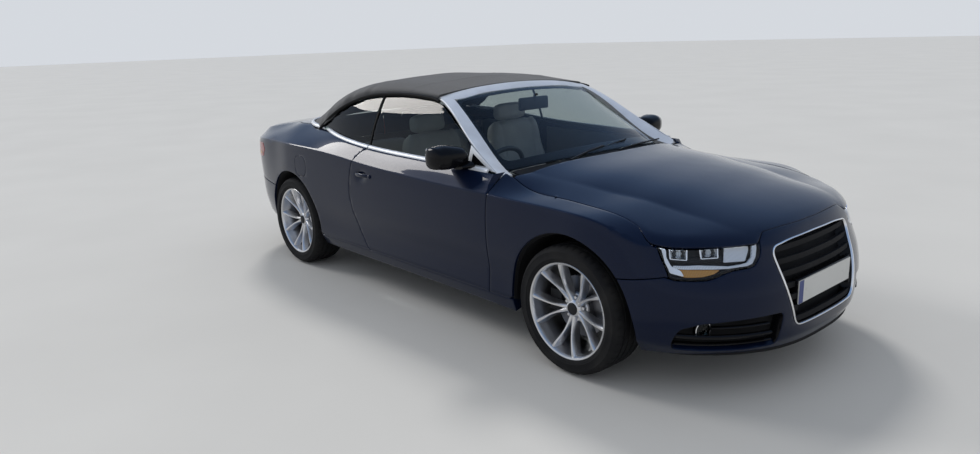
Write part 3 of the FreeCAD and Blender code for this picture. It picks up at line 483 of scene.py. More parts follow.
def grid_faces(rows, columns, closed_rows=False, closed_columns=False):
    """Faces of a grid of points numbered row by row."""
    faces = []
    for i in range(rows if closed_rows else rows - 1):
        for j in range(columns if closed_columns else columns - 1):
            a, b = i * columns + j, i * columns + (j + 1) % columns
            c, d = ((i + 1) % rows) * columns + (j + 1) % columns, ((i + 1) % rows) * columns + j
            faces.append((a, b, c, d))
    return faces


def loft(rows, closed=True):
    """Points and faces of a skin through rings of equal size."""
    verts = [p for row in rows for p in row]
    n = len(rows[0])
    faces = grid_faces(len(rows), n, closed_columns=closed)
    if closed:
        faces.append(tuple(range(n))[::-1])
        faces.append(tuple(range((len(rows) - 1) * n, len(rows) * n)))
    return verts, faces


def sweep(path, profile, up=(0, 0, 1), closed=False):
    """A profile of (across, up) points run along a path."""
    rows = []
    n = len(path)
    for i, p in enumerate(path):
        a = Vector(path[(i - 1) % n] if closed or i else path[0])
        b = Vector(path[(i + 1) % n] if closed or i < n - 1 else path[-1])
        run = (b - a).normalized()
        side = run.cross(Vector(up)).normalized()
        top = side.cross(run)
        rows.append([tuple(Vector(p) + side * u + top * v) for u, v in profile])
    verts = [q for row in rows for q in row]
    m = len(profile)
    faces = grid_faces(n, m, closed_rows=closed, closed_columns=True)
    if not closed:
        faces.append(tuple(range(m))[::-1])
        faces.append(tuple(range((n - 1) * m, n * m)))
    return verts, faces


def ring_profile(radius, count=10):
    return [(radius * c, radius * d) for c, d in circle(count)]


def slab_profile(width, height, corner=0.3):
    """A rounded rectangle as a profile."""
    w, h = width / 2, height / 2
    c = min(w, h) * corner
    return [(-w + c, -h), (w - c, -h), (w, -h + c), (w, h - c), (w - c, h), (-w + c, h), (-w, h - c),
            (-w, -h + c)]


def lathe(profile, count):
    """A profile of (radius, along Y) turned round the Y axis."""
    verts = []
    for k in range(count):
        a = math.radians(360.0 * k / count)
        verts += [(r * math.sin(a), w, r * math.cos(a)) for r, w in profile]
    return verts, grid_faces(count, len(profile), closed_rows=True)


def soft_box(low, high, radius, segments=3):
    """Points and faces of a box with rounded edges."""
    shape = bmesh.new()
    bmesh.ops.create_cube(shape, size=1.0)
    for v in shape.verts:
        v.co = Vector([mix(a, b, c + 0.5) for a, b, c in zip(low, high, v.co)])
    bmesh.ops.bevel(shape, geom=shape.edges[:], offset=radius, segments=segments, profile=0.5, affect="EDGES")
    shape.verts.index_update()
    verts = [tuple(v.co) for v in shape.verts]
    faces = [tuple(v.index for v in f.verts) for f in shape.faces]
    shape.free()
    return verts, faces


def merged(parts):
    """Several (points, faces) as one."""
    verts, faces = [], []
    for points, polygons in parts:
        start = len(verts)
        verts += points
        faces += [tuple(i + start for i in f) for f in polygons]
    return verts, faces


def moved(part, move, turn=None):
    """A part turned by a matrix about the origin, then moved."""
    points, polygons = part
    turn = turn or Matrix.Identity(3)
    return [tuple(turn @ Vector(p) + Vector(move)) for p in points], polygons


def flipped_y(part):
    points, polygons = part
    return [(x, -y, z) for x, y, z in points], [tuple(reversed(f)) for f in polygons]


# Body skin, by station round the car and level between its rows

quarter_turn = corner_radius * math.pi / 2
rear_start = quarter_turn + wheelbase
station_end = rear_start + quarter_turn


def at_front(degrees):
    """The station at an angle from the nose's middle line."""
    return corner_radius * math.radians(degrees)


def at_side(x):
    """The station at a place along the car's side."""
    return quarter_turn + front_axle_x - x


def at_rear(degrees):
    """The station at an angle from the tail's middle line."""
    return station_end - corner_radius * math.radians(degrees)


# Rows, each (out, height): bottom, flare, low, mid, high, crease, rim
rows_at = [
    (at_front(0), (838, 205), (862, 262), (866, 350), (845, 500), (805, 620), (768, 698), (735, 742)),
    (at_front(25), (870, 205), (905, 262), (915, 360), (895, 500), (855, 610), (826, 690), (790, 742)),
    (at_front(45), (880, 205), (935, 265), (968, 370), (962, 500), (925, 615), (898, 700), (888, 712)),
    (at_front(62), (880, 205), (945, 275), (978, 390), (978, 520), (955, 640), (937, 716), (925, 732)),
    (at_front(76), (880, 215), (925, 290), (948, 400), (948, 560), (938, 710), (925, 798), (812, 817)),
    (at_side(1447), (870, 215), (915, 300), (924, 410), (927, 600), (920, 745), (908, 824), (785, 830)),
    (at_side(1000), (868, 215), (893, 300), (890, 400), (910, 560), (913, 745), (905, 829), (771, 875)),
    (at_side(882), (866, 215), (893, 300), (889, 400), (909, 560), (912, 745), (904, 830), (768, 926)),
    (at_side(840), (865, 215), (893, 300), (889, 400), (909, 560), (912, 745), (904, 830), (833, 926)),
    (at_side(550), (862, 215), (893, 300), (888, 400), (908, 560), (911, 745), (903, 831), (833, 932)),
    (at_side(100), (862, 215), (893, 300), (888, 400), (908, 560), (911, 750), (905, 842), (834, 940)),
    (at_side(-350), (862, 215), (893, 300), (890, 400), (910, 560), (913, 770), (908, 864), (833, 956)),
    (at_side(-800), (862, 215), (898, 300), (900, 400), (916, 560), (918, 790), (915, 897), (806, 999)),
    (at_side(-1304), (870, 225), (915, 310), (925, 420), (927, 600), (924, 800), (918, 913), (690, 1034)),
    (at_rear(76), (890, 235), (925, 310), (932, 430), (934, 600), (931, 800), (925, 912), (705, 1032)),
    (at_rear(62), (930, 245), (968, 320), (985, 430), (992, 600), (998, 795), (995, 905), (728, 1022)),
    (at_rear(45), (985, 255), (1040, 330), (1066, 430), (1078, 600), (1078, 790), (1072, 895), (985, 968)),
    (at_rear(25), (960, 262), (1010, 335), (1040, 430), (1045, 590), (1020, 790), (1035, 935), (1015, 955)),
    (at_rear(0), (945, 265), (990, 335), (1009, 440), (1005, 590), (985, 790), (961, 955), (945, 968)),
]
FLARE, LOW, CREASE, RIM = 1, 2, 5, 6


def past_ends(rows):
    """The rows, carried on past the nose and the tail as their mirror image, for level ends."""
    before = [(-row[0], *row[1:]) for row in (rows[2], rows[1])]
    after = [(2 * station_end - row[0], *row[1:]) for row in (rows[-2], rows[-3])]
    return before + rows + after


all_rows = past_ends(rows_at)
row_curves = [tracks([row[0] for row in all_rows], all_rows, (k,)) for k in range(1, 8)]

# The hood, as a height over the plan: (x, then rim, crease and middle as y and z)
hood_rows = [
    (900, (775, 925), (650, 925), (0, 985)),
    (1040, (772, 866), (630, 908), (0, 962)),
    (1310, (788, 841), (600, 884), (0, 937)),
    (1490, (788, 833), (575, 861), (0, 914)),
    (1650, (800, 818), (545, 845), (0, 890)),
    (1810, (830, 778), (525, 815), (0, 860)),
    (1920, (830, 742), (510, 798), (0, 838)),
    (2010, (830, 712), (495, 782), (0, 816)),
    (2100, (640, 712), (470, 755), (0, 787)),
    (2150, (600, 700), (420, 735), (0, 764)),
    (2185, (560, 690), (360, 718), (0, 742)),
]
hood_places = [row[0] for row in hood_rows]
hood_curves = tracks(hood_places, hood_rows, (1, 2, 3))
hood_plan = [(936, 757), (1150, 772), (1359, 776), (1580, 778), (1731, 785), (1820, 800), (1893, 813),
             (1990, 720), (2060, 640), (2120, 500), (2150, 380), (2172, 200), (2178, 0)]
hood_rear = [(1045, 0), (1035, 200), (1005, 400), (965, 620), (936, 757)]
shut_y = spline([p[0] for p in hood_plan[:7]], [p[1] for p in hood_plan[:7]])


def hood_height(x, y):
    """Height of the hood's surface: a low crown between its creases, and flatter beside them."""
    rim_y, rim_z, crease_y, crease_z, _, mid_z = [curve(x) for curve in hood_curves]
    y = abs(y)
    if y <= crease_y:
        t = y / crease_y
        return mid_z + (crease_z - mid_z) * (0.55 * t * t + 0.45 * t ** 4 * (0.5 + 0.5 * t))
    t = (y - crease_y) / (rim_y - crease_y)
    drop = rim_z - crease_z
    return crease_z + drop * (0.55 * t + 0.45 * t * t)


def shut_section(station):
    """(out, height) of the shut line between hood and fender, or of the fender's top behind it."""
    if station >= quarter_turn:
        x = at_side(station)
        y = shut_y(max(x, 936)) + (6 if x < 936 else 0)
        return y, hood_height(x, y)
    a = station / corner_radius
    out = halving(600.0, 960.0, lambda r: r * math.sin(a) > shut_y(front_axle_x + r * math.cos(a)))
    x, y = front_axle_x + out * math.cos(a), out * math.sin(a)
    return out, hood_height(x, y)


front_edge = [(corner_radius * math.atan2(y, x - front_axle_x), math.hypot(x - front_axle_x, y))
              for x, y in rounded(hood_plan[6:], 60, closed=False)[::-1]]
front_out = spline([p[0] for p in front_edge[::3]] + [front_edge[-1][0]],
                   [p[1] for p in front_edge[::3]] + [front_edge[-1][1]])
shut_from = at_front(62)
lamp_from, lamp_to = 27.0, 61.5
door_rows = [row for row in rows_at if row[0] > at_side(845)]
belt_stations = [at_side(1000)] + [row[0] for row in door_rows]
belt_out = spline(belt_stations, [833] + [row[7][0] for row in door_rows])
belt_height = spline(belt_stations, [924] + [row[7][1] for row in door_rows])


def rim_at(station):
    """(out, height) of the rim row, which follows the hood's shut line, the lamp's top and then the belt."""
    if station >= at_side(884):
        return belt_out(station), belt_height(station)
    if station >= at_front(68):
        return shut_section(station)
    if station >= shut_from:
        out, height = shut_section(station)
    else:
        out = front_out(abs(station))
        a = abs(station) / corner_radius
        height = hood_height(front_axle_x + out * math.cos(a), out * math.sin(a))
    degrees = math.degrees(abs(station) / corner_radius)
    over_lamp = smooth_step((degrees - lamp_from) / 5) * (1 - smooth_step((degrees - lamp_to) / 6))
    crease_out, crease_z = [curve(abs(station)) for curve in row_curves[CREASE]]
    return mix(out, crease_out - 1.5, over_lamp), mix(height, crease_z + 5, over_lamp)


ring_cache = {}


def ring_at(station):
    """The seven row points of a station, with their lengths and tangents."""
    key = round(station, 2)
    if key in ring_cache:
        return ring_cache[key]
    points = [Vector((out(station), height(station))) for out, height in row_curves[:RIM]]
    points.append(Vector(rim_at(station)))
    runs = [(points[i + 1] - points[i]) for i in range(6)]
    sizes = [r.length for r in runs]
    tangents = [runs[0] / sizes[0]]
    for i in range(1, 6):
        a, b = runs[i - 1] / sizes[i - 1], runs[i] / sizes[i]
        tangents.append((a * sizes[i] + b * sizes[i - 1]) / (sizes[i] + sizes[i - 1]))
    tangents.append(runs[5] / sizes[5])
    below, above = list(tangents), list(tangents)
    # The shoulder crease: the surface under it runs straight on, and the one over it starts leaning inwards
    under = runs[4] / sizes[4]
    chord = runs[5] / sizes[5]
    below[CREASE] = (under * 1.2 + chord * 0.1).normalized()
    above[CREASE] = (under * 0.06 + chord).normalized()
    below[RIM] = above[RIM] = (chord * 0.8 + Vector((-0.25, 0.0))).normalized()
    # The lower edge over the sill is crisp too
    low_run = runs[0] / sizes[0]
    above[FLARE] = (runs[1] / sizes[1] + below[LOW] * 0.2).normalized()
    below[FLARE] = (low_run + above[FLARE] * 0.3).normalized()
    ring_cache[key] = (points, sizes, below, above)
    return ring_cache[key]


def section_at(station, level):
    """(out, height) of the smooth skin; past the rim it runs straight on."""
    points, sizes, below, above = ring_at(station)
    i = min(max(int(math.floor(level)), 0), 5)
    t = level - i
    if t > 1:
        return points[6] + below[6] * (t - 1) * sizes[5]
    a, b = points[i], points[i + 1]
    m0, m1 = above[i] * sizes[i], below[i + 1] * sizes[i]
    t2, t3 = t * t, t * t * t
    return a * (2 * t3 - 3 * t2 + 1) + m0 * (t3 - 2 * t2 + t) + b * (3 * t2 - 2 * t3) + m1 * (t3 - t2)


crease_round = 0.05


def skin_section(station, level):
    """The section with its crease a little rounded."""
    gap = abs(level - CREASE)
    if gap >= crease_round:
        return section_at(station, level)
    lean = (level - CREASE) / crease_round / 2
    under, over = section_at(station, CREASE - crease_round), section_at(station, CREASE + crease_round)
    return (under * (0.5 - lean) + over * (0.5 + lean)) * 0.5 + section_at(station, level) * 0.5


def skin_point(station, level, proud=0.0):
    """A point on the smooth skin. Stations from nose to tail lie on the car's left, those past either end on
    its right."""
    side = -1 if station < 0 or station > station_end else 1
    station = abs(station)
    if station > station_end:
        station = 2 * station_end - station
    out, height = skin_section(station, level)
    out += proud
    if station < quarter_turn:
        a = station / corner_radius
        return (front_axle_x + out * math.cos(a), side * out * math.sin(a), height)
    if station < rear_start:
        return (front_axle_x + quarter_turn - station, side * out, height)
    a = (station - rear_start) / corner_radius
    return (rear_axle_x - out * math.sin(a), side * out * math.cos(a), height)


# One level counts as this many millimetres where a panel's outline is drawn
level_size = 130.0


def find(target, axes, guess):
    """(station, level) of the skin point whose coordinates on two axes are the target's."""
    u, v = guess
    for _ in range(14):
        p = skin_point(u, v)
        error = [target[k] - p[axes[k]] for k in (0, 1)]
        if abs(error[0]) + abs(error[1]) < 0.02:
            break
        pu, pv = skin_point(u + 2, v), skin_point(u, v + 0.02)
        a, b = [(pu[axes[k]] - p[axes[k]]) / 2 for k in (0, 1)]
        c, d = [(pv[axes[k]] - p[axes[k]]) / 0.02 for k in (0, 1)]
        det = a * d - b * c
        if abs(det) < 1e-9:
            break
        u += max(-120, min(120, (error[0] * d - error[1] * c) / det))
        v += max(-0.6, min(0.6, (a * error[1] - b * error[0]) / det))
        v = max(-0.2, min(6.4, v))
    return u, v


def trace(points, axes, guess):
    """Outline points on the skin from their places in a view, SIDE or END."""
    out = []
    for p in points:
        guess = find(p, axes, guess)
        out.append((guess[0], guess[1] * level_size))
    return out


def uv(station, level):
    """A point of an outline on the skin, in millimetres."""
    return station, level * level_size


def area(loop):
    """A loop's area, above zero where it runs to the left."""
    return sum(a[0] * b[1] - b[0] * a[1] for a, b in zip(loop, loop[1:] + loop[:1])) / 2


def thinned(loop, least=2.5):
    """A loop without points that nearly coincide."""
    out = [loop[0]]
    for p in loop[1:]:
        if math.dist(p, out[-1]) > least:
            out.append(p)
    if math.dist(out[0], out[-1]) < least:
        out.pop()
    return out


def inset(loop, gap):
    """A closed loop moved inwards by a gap."""
    n = len(loop)
    sign = 1 if area(loop) > 0 else -1
    out = []
    for i in range(n):
        a, p, b = Vector(loop[i - 1]), Vector(loop[i]), Vector(loop[(i + 1) % n])
        one, two = (p - a).normalized(), (b - p).normalized()
        left = Vector((-one.y, one.x)) + Vector((-two.y, two.x))
        if left.length < 0.3:
            left = Vector((-one.y, one.x))
        left.normalize()
        lean = max(0.5, left.dot(Vector((-one.y, one.x))))
        out.append(tuple(p + left * (gap * sign / lean)))
    return out


def cut_grid(outline, holes, step, gap=None, fine=()):
    """A flat mesh of quads inside an outline and outside holes, as points and faces.
    fine gives windows (left, low, right, high) with smaller quads."""
    gap = panel_gap / 2 + panel_round if gap is None else gap
    loops = [inset(thinned(outline), gap)] + [inset(thinned(h), -gap) for h in holes]
    xs, ys = [p[0] for p in loops[0]], [p[1] for p in loops[0]]
    nx = max(2, math.ceil((max(xs) - min(xs)) / step) + 1)
    ny = max(2, math.ceil((max(ys) - min(ys)) / step) + 1)
    x0, y0 = min(xs) - step * 0.37, min(ys) - step * 0.37
    flat = [Vector((x0 + step * i, y0 + step * j)) for j in range(ny + 1) for i in range(nx + 1)]
    faces = []
    for loop in loops:
        start = len(flat)
        flat += [Vector(p) for p in loop]
        order = list(range(start, start + len(loop)))
        faces.append(order if area(loop) > 0 else order[::-1])
    count = len(faces)
    for j in range(ny):
        for i in range(nx):
            a = j * (nx + 1) + i
            x, y = flat[a]
            if any(l <= x <= r and b <= y <= t for l, b, r, t in fine):
                start = len(flat)
                flat += [Vector((x + step * m / 4, y + step * k / 4)) for k in range(5) for m in range(5)]
                faces += [[start + f for f in face] for face in grid_faces(5, 5)]
            else:
                faces.append([a, a + 1, a + nx + 2, a + nx + 1])
    points, _, polygons, _, _, origins = delaunay_2d_cdt(flat, [], faces, 4, 1e-3, True)
    kept = [f for f, o in zip(polygons, origins) if 0 in o and not any(k in o for k in range(1, count))]
    used = sorted({i for f in kept for i in f})
    index = {old: new for new, old in enumerate(used)}
    return [tuple(points[i]) for i in used], [tuple(index[i] for i in f) for f in kept]


def hemmed(name, points, faces, outward, depth=14.0, bend=None):
    """A mesh from surface points whose borders roll over and run inwards as a hem, as pressed sheet does.
    outward gives a way that the first face looks, so that the sheet's front is outside."""
    bend = panel_round if bend is None else bend
    shape = bmesh.new()
    made = [shape.verts.new(p) for p in points]
    for f in faces:
        if len(set(f)) > 2:
            try:
                shape.faces.new([made[i] for i in f])
            except ValueError:
                continue
    bmesh.ops.remove_doubles(shape, verts=shape.verts[:], dist=0.05)
    shape.normal_update()
    look = sum((f.normal.dot(outward(f.calc_center_median())) * f.calc_area() for f in shape.faces))
    if look < 0:
        bmesh.ops.reverse_faces(shape, faces=shape.faces[:])
    shape.normal_update()
    borders = [e for e in shape.edges if len(e.link_faces) == 1]
    away, facing, forward = {}, {}, {}
    for e in borders:
        f = e.link_faces[0]
        forward[e] = e.link_loops[0].vert is e.verts[0]
        run = (e.verts[1].co - e.verts[0].co).normalized()
        off = (e.verts[0].co + e.verts[1].co) / 2 - f.calc_center_median()
        off -= run * off.dot(run) + f.normal * off.dot(f.normal)
        if off.length > 1e-6:
            off.normalize()
        for v in e.verts:
            away[v] = away.get(v, Vector()) + off * e.calc_length()
            facing[v] = v.normal.copy()
    turns = [(math.sin(math.radians(k)) * bend, (1 - math.cos(math.radians(k))) * bend) for k in (30, 60, 90)]
    rings = [{v: v for v in away}]
    for out, down in turns + [(bend, bend + depth)]:
        ring = {}
        for v, off in away.items():
            side = off.normalized() if off.length > 1e-6 else Vector()
            ring[v] = shape.verts.new(v.co + side * out - facing[v] * down)
        rings.append(ring)
    for lower, upper in zip(rings, rings[1:]):
        for e in borders:
            v, w = (e.verts[0], e.verts[1]) if forward[e] else (e.verts[1], e.verts[0])
            shape.faces.new([lower[w], lower[v], upper[v], upper[w]])
    shape.normal_update()
    data = bpy.data.meshes.new(name)
    shape.to_mesh(data)
    shape.free()
    data.transform(Matrix.Scale(MM, 4))
    return data


def grid_panel(name, outline, holes, where, outward, material="body_paint", body=ROOT, step=22.0, depth=14.0,
               gap=None, bend=None, replaces=(), smooth=38.0, fine=()):
    """A pressed panel: the part of a surface inside an outline, with its borders hemmed."""
    points, faces = cut_grid(outline, holes, step, gap, fine)
    data = hemmed(name, [where(*p) for p in points], faces, outward, depth, bend)
    return dressed(name, data, material, body, smooth=smooth, replaces=replaces)


def skin_at(proud):
    """Places on the skin, raised by a height, from an outline's (station, height of level)."""
    return lambda u, v: skin_point(u, v / level_size, proud)


on_skin = skin_at(0.0)
tail_x = -2312.4


def tail_point(u, v):
    """A point of the skin, held in front of the rearmost face of the solids."""
    x, y, z = on_skin(u, v)
    return Vector((max(x, tail_x), y, z))


def from_middle(centre):
    """A way outwards from a point near a panel's inside."""
    return lambda p: p - Vector(centre)


from_car = from_middle((0, 0, 500))
from_nose = from_middle((front_axle_x, 0, 500))
from_lamps = from_middle((1250, 0, 500))
from_tail = from_middle((rear_axle_x, 0, 500))


def upwards(_):
    return Vector((0, 0, 1))


# Borders of the skin's panels, as outlines in (station, level) or places in a view

def arc_points(x, radius, start, end, count=40):
    """Points in the side view on an arch circle, by angles from straight ahead."""
    return [(x + radius * math.cos(math.radians(a)), axle_z + radius * math.sin(math.radians(a)))
            for a in (start + (end - start) * k / count for k in range(count + 1))]


SIDE, END = (0, 2), (1, 2)
sill_top = 0.82
front_shut = [(876, 290), (879, 400), (882, 560), (886, 745), (890, 830), (893, 880), (894, 924)]
rear_shut = [(-300, 289), (-334, 310), (-404, 400), (-459, 534), (-480, 641), (-466, 760), (-434, 864),
             (-389, 925), (-352, 954)]
seam_front = [(1755, 563), (1830, 571), (1930, 588), (1972, 598)]
seam_rear = [(-1600, 562), (-1750, 572), (-1950, 588), (-2060, 598)]


def side_trace(points, guess):
    return trace(points, SIDE, guess)


def whole(half, other):
    """A closed outline from its left half, with the way to a point's other side."""
    return half + [other(*p) for p in half[-2:0:-1]]


def in_plan(x, y):
    return x, -y


def round_nose(u, v):
    return -u, v


def round_tail(u, v):
    return 2 * station_end - u, v


def by_front(points):
    """Outline points from (degrees from the nose, level)."""
    return [uv(at_front(a), level) for a, level in points]


def by_rear(points):
    """Outline points from (degrees from the tail's middle, level), below zero on the right."""
    return [uv(at_rear(a), level) for a, level in points]


def level_run(start, end, level, step=30.0):
    """Outline points at one level between two stations."""
    n = max(2, round(abs(end - start) / step))
    return [uv(start + (end - start) * k / n, level) for k in range(n + 1)]


# The lid's corner over the tail lamp, as (degrees from the tail's middle, level)
lid_corner = [(42.2, 5.6), (41.6, 5.2), (40.5, 5.03), (37, 4.99)]


def fender_outline():
    arch = side_trace(arc_points(front_axle_x, front_arch, 37.6, 186.1, 60), (at_side(1700), 3))
    sill_line = level_run(at_side(1060), at_side(876), sill_top)
    shut = side_trace(straight(front_shut, 20), (at_side(876), sill_top))
    top = level_run(at_side(894), at_front(61.3), RIM, 12)
    lamp = by_front(lamp_outer[::-1])
    seam = side_trace(straight(seam_front[::-1], 20), (at_front(58), 3.7))
    return arch[:-1] + sill_line[1:] + shut[1:] + top[1:-1] + lamp + seam[1:-1]


def door_outline():
    bottom = level_run(at_side(876), at_side(-300), sill_top)
    back = side_trace(straight(rear_shut, 15), (at_side(-300), sill_top))
    top = level_run(at_side(-352), at_side(893), RIM)
    shut = side_trace(straight(front_shut[::-1], 20), (at_side(893), RIM))
    return bottom + back[1:-1] + top[1:] + shut[2:-1]


def quarter_outline():
    front = side_trace(straight(rear_shut, 15), (at_side(-300), sill_top))
    top = level_run(at_side(-352), at_rear(43), RIM, 25)
    down = trace(straight([(564, 925), (564, 606)], 20), END, (at_rear(33.5), 4.9))
    low = trace(straight([(590, 602), (790, 600)], 30), END, (at_rear(34), 3.1))
    seam = side_trace(straight(seam_rear[::-1], 20), (at_rear(50), 3.1))
    back = by_rear(lid_corner) + down + [p for p in low if p[0] > seam[0][0] + 12]
    arch = side_trace(arc_points(rear_axle_x, rear_arch, 141.4, -5.0, 60), (at_side(-1588), 3))
    sill_line = level_run(at_side(-1304 + 376), at_side(-300), sill_top)
    return front[:-1] + top + back + seam + arch[1:-1] + sill_line[1:-1]


def left_wall(_):
    return Vector((0, 1, 0.15))


handle_middle = (-318.0, 790.0)
grip_long, grip_high, grip_depth = 78, 40, 17.0
flap_middle = (-1113.0, 768.0)
flap_radius = 74


def door_surface(u, v):
    """The door's skin with the grip's bowl behind the handle."""
    x, y, z = on_skin(u, v)
    away = math.hypot((x - handle_middle[0] + 6) / grip_long, (z - handle_middle[1] + 2) / grip_high)
    return x, y - grip_depth * (1 - smooth_step(away)), z


def round_loop(centre, radius, guess):
    """A rounded square on the body's side as (station, level) points."""
    power = 2 / 2.6
    ring = [(centre[0] + radius * signed_power(c, power), centre[1] + radius * signed_power(d, power))
            for c, d in circle(28)]
    return trace(ring, SIDE, guess)


def make_side_panels():
    crease = uv(at_side(1700), CREASE)[1]
    fold = (at_side(1700), crease - 26, at_side(-1560), crease + 6)
    both_sides(grid_panel("fender_skin_left", fender_outline(), [], on_skin, from_car, depth=side_hem,
                          replaces=["fender_left"], fine=[fold]))
    grip = find(handle_middle, SIDE, (at_side(handle_middle[0]), 4.2))
    window = (grip[0] - 130, grip[1] - 70, grip[0] + 130, grip[1] + 90)
    both_sides(grid_panel("door_skin_left", door_outline(), [], door_surface, from_car, body="door_left_body",
                          depth=side_hem, replaces=["door_left"], fine=[window, fold]))
    grid_panel("quarter_skin_left", quarter_outline(), [], on_skin, from_car, depth=side_hem,
               replaces=["quarter_left"], fine=[fold])
    # The fuel flap is on the car's right only
    flap = round_loop(flap_middle, flap_radius, (at_side(flap_middle[0]), 4.0))
    holed = grid_panel("holed", quarter_outline(), [flap], on_skin, from_car, depth=side_hem, fine=[fold])
    other_side(holed, "quarter_skin_right", ROOT, ["quarter_right"])
    lid = grid_panel("flap", flap, [], on_skin, from_car, depth=8.0, gap=0.5, bend=1.5, step=12.0)
    other_side(lid, "fuel_flap")
    for spare in (holed, lid):
        bpy.data.objects.remove(spare)


hood_lip = 55.0


def hood_surface(x, y):
    """The hood, rolled down at its front edge to meet the bumper and the lamps."""
    z = hood_height(x, y)
    if x < front_axle_x + 100:
        return z
    angle = math.atan2(abs(y), x - front_axle_x)
    radius = math.hypot(x - front_axle_x, y)
    out, height = rim_at(angle * corner_radius)
    t = min(1.0, 1 - (out - radius) / hood_lip)
    if t <= 0:
        return z
    edge = hood_height(front_axle_x + out * math.cos(angle), out * math.sin(angle))
    return z - (edge - height + 2) * (1 - math.sqrt(1 - t * t))


def rim_plan(start, end, count):
    """The rim row seen from above, on the left side."""
    return [skin_point(start + (end - start) * k / count, RIM)[:2] for k in range(count + 1)]


def make_hood():
    rear = straight(rounded(hood_rear, 60, closed=False), 18)
    side = rim_plan(at_side(930), at_side(front_axle_x), 30)
    half = rear[:-1] + side[1:] + rim_plan(at_front(90), 0, 110)[1:]
    outline = whole(half, in_plan)
    grid_panel("hood_skin", outline, [], lambda x, y: (x, y, hood_surface(x, y)), upwards, body="hood_body",
               step=15.0, depth=lid_hem, bend=3.0, gap=panel_gap / 2 + 3.0, replaces=["hood"])


# Outlines round the lamps and the vents, as (degrees from the nose, level)
lamp_inner = [(30.2, 6.0), (30.4, 4.8), (31.2, 4.5), (32.3, 4.22), (33.2, 4.07), (35, 4.0), (38, 3.99),
              (41, 3.94), (43.5, 3.84), (46, 3.71), (48, 3.66), (52, 3.64), (56, 3.62), (57.3, 3.68)]
lamp_outer = [(57.3, 3.68), (58.2, 4.0), (59.2, 4.4), (60.4, 4.95), (61.3, 6.0)]
vent_line = [(56.0, 0.62), (56.2, 1.15), (54.2, 1.8), (49, 2.1), (41.4, 2.2), (33, 2.24), (24.2, 2.25),
             (25.0, 1.4), (26.2, 0.62), (36, 0.5), (48, 0.52)]


def bumper_outline():
    top = level_run(0, at_front(30.2), RIM, 20)
    lamp = rounded(by_front(lamp_inner), 9, closed=False, pieces=3)
    seam = side_trace(straight(seam_front[::-1], 20), (at_front(58), 3.7))
    arch = side_trace(arc_points(front_axle_x, front_arch, 37.6, -18.0, 34), (at_side(1700), 3))
    bottom = level_run(arch[-1][0], 0, 0.02, 30)
    left = top + lamp[1:-1] + seam[1:-1] + arch + bottom[1:]
    return whole(left, round_nose)


def grille_hole():
    half = [(0, 700), (230, 697), (376, 682), (345, 500), (293, 308), (0, 308)]
    half = straight(rounded(half, 52, closed=False, pieces=7), 12)
    left = trace(half, END, (0, 4.9))
    return whole(left, round_nose)


def make_bumpers():
    vent = rounded(by_front(vent_line), 26, pieces=4)
    holes = [grille_hole(), vent, [(-u, v) for u, v in vent]]
    grid_panel("front_bumper_skin", bumper_outline(), holes, on_skin, from_nose, depth=bumper_hem, step=18.0,
               replaces=["front_bumper"])

    seam = side_trace(straight(seam_rear, 20), (at_side(-1588), 3))
    across = trace(straight([(790, 600), (560, 602), (0, 603)], 30), END, (at_rear(48), 3.1))
    arch = side_trace(arc_points(rear_axle_x, rear_arch, 141.4, 198.5, 34), (at_side(-1588), 3))
    bottom = level_run(arch[-1][0], station_end, 0.02)
    left = bottom[::-1] + arch[-2::-1] + seam[1:-1] + [p for p in across if p[0] > seam[-1][0] + 12]
    outline = whole(left, round_tail)
    grid_panel("rear_bumper_skin", outline, [], tail_point, from_tail, depth=bumper_hem, step=20.0,
               replaces=["rear_bumper"])


def make_tail_apron():
    """The dark lower part of the rear bumper."""
    low, high = 0.06, 1.12
    corners = [(48, low), (50, 0.5), (46, high), (20, high + 0.12), (-20, high + 0.12), (-46, high),
               (-50, 0.5), (-48, low)]
    loop = filled(rounded(by_rear(corners), 12), 20)
    grid_panel("tail_apron", loop, [], skin_at(1.6), from_tail, "dark_plastic", depth=2.0, step=20.0, gap=0.5,
               bend=1.2)


def make_sills():
    low = level_run(at_side(1062), at_side(-930), 0.0, 40)
    high = level_run(at_side(-930), at_side(1062), sill_top, 40)
    both_sides(grid_panel("sill_skin_left", low + high, [], on_skin, from_car, depth=60.0, bend=3.0, gap=4.0,
                          replaces=["sill_left"]))


# Deck: the boot lid and the strip ahead of it, as (x, then side, shoulder and middle as y and z)
deck_rows = [
    (-1200, (715, 1038), (420, 1050), (0, 1054)),
    (-1330, (700, 1034), (420, 1046), (0, 1050)),
    (-1500, (700, 1029), (420, 1040), (0, 1044)),
    (-1660, (690, 1020), (420, 1028), (0, 1032)),
    (-1900, (735, 985), (450, 1008), (0, 1017)),
    (-2100, (745, 948), (440, 982), (0, 993)),
    (-2200, (640, 938), (420, 962), (0, 975)),
    (-2262, (420, 948), (300, 955), (0, 966)),
]
deck_places = [-row[0] for row in deck_rows]
deck_curves = tracks(deck_places, deck_rows, (1, 2, 3))


def deck_height(x, y):
    """Height of the deck's surface from its rows, level across the middle."""
    side_y, side_z, mid_y, mid_z, _, top_z = [curve(-x) for curve in deck_curves]
    y = abs(y)
    bend = (mid_z - top_z) / (mid_y * mid_y)
    if y <= mid_y:
        return top_z + bend * y * y
    t = (y - mid_y) / (side_y - mid_y)
    slope = 2 * bend * mid_y * (side_y - mid_y)
    return mid_z + slope * t + (side_z - mid_z - slope) * t * t


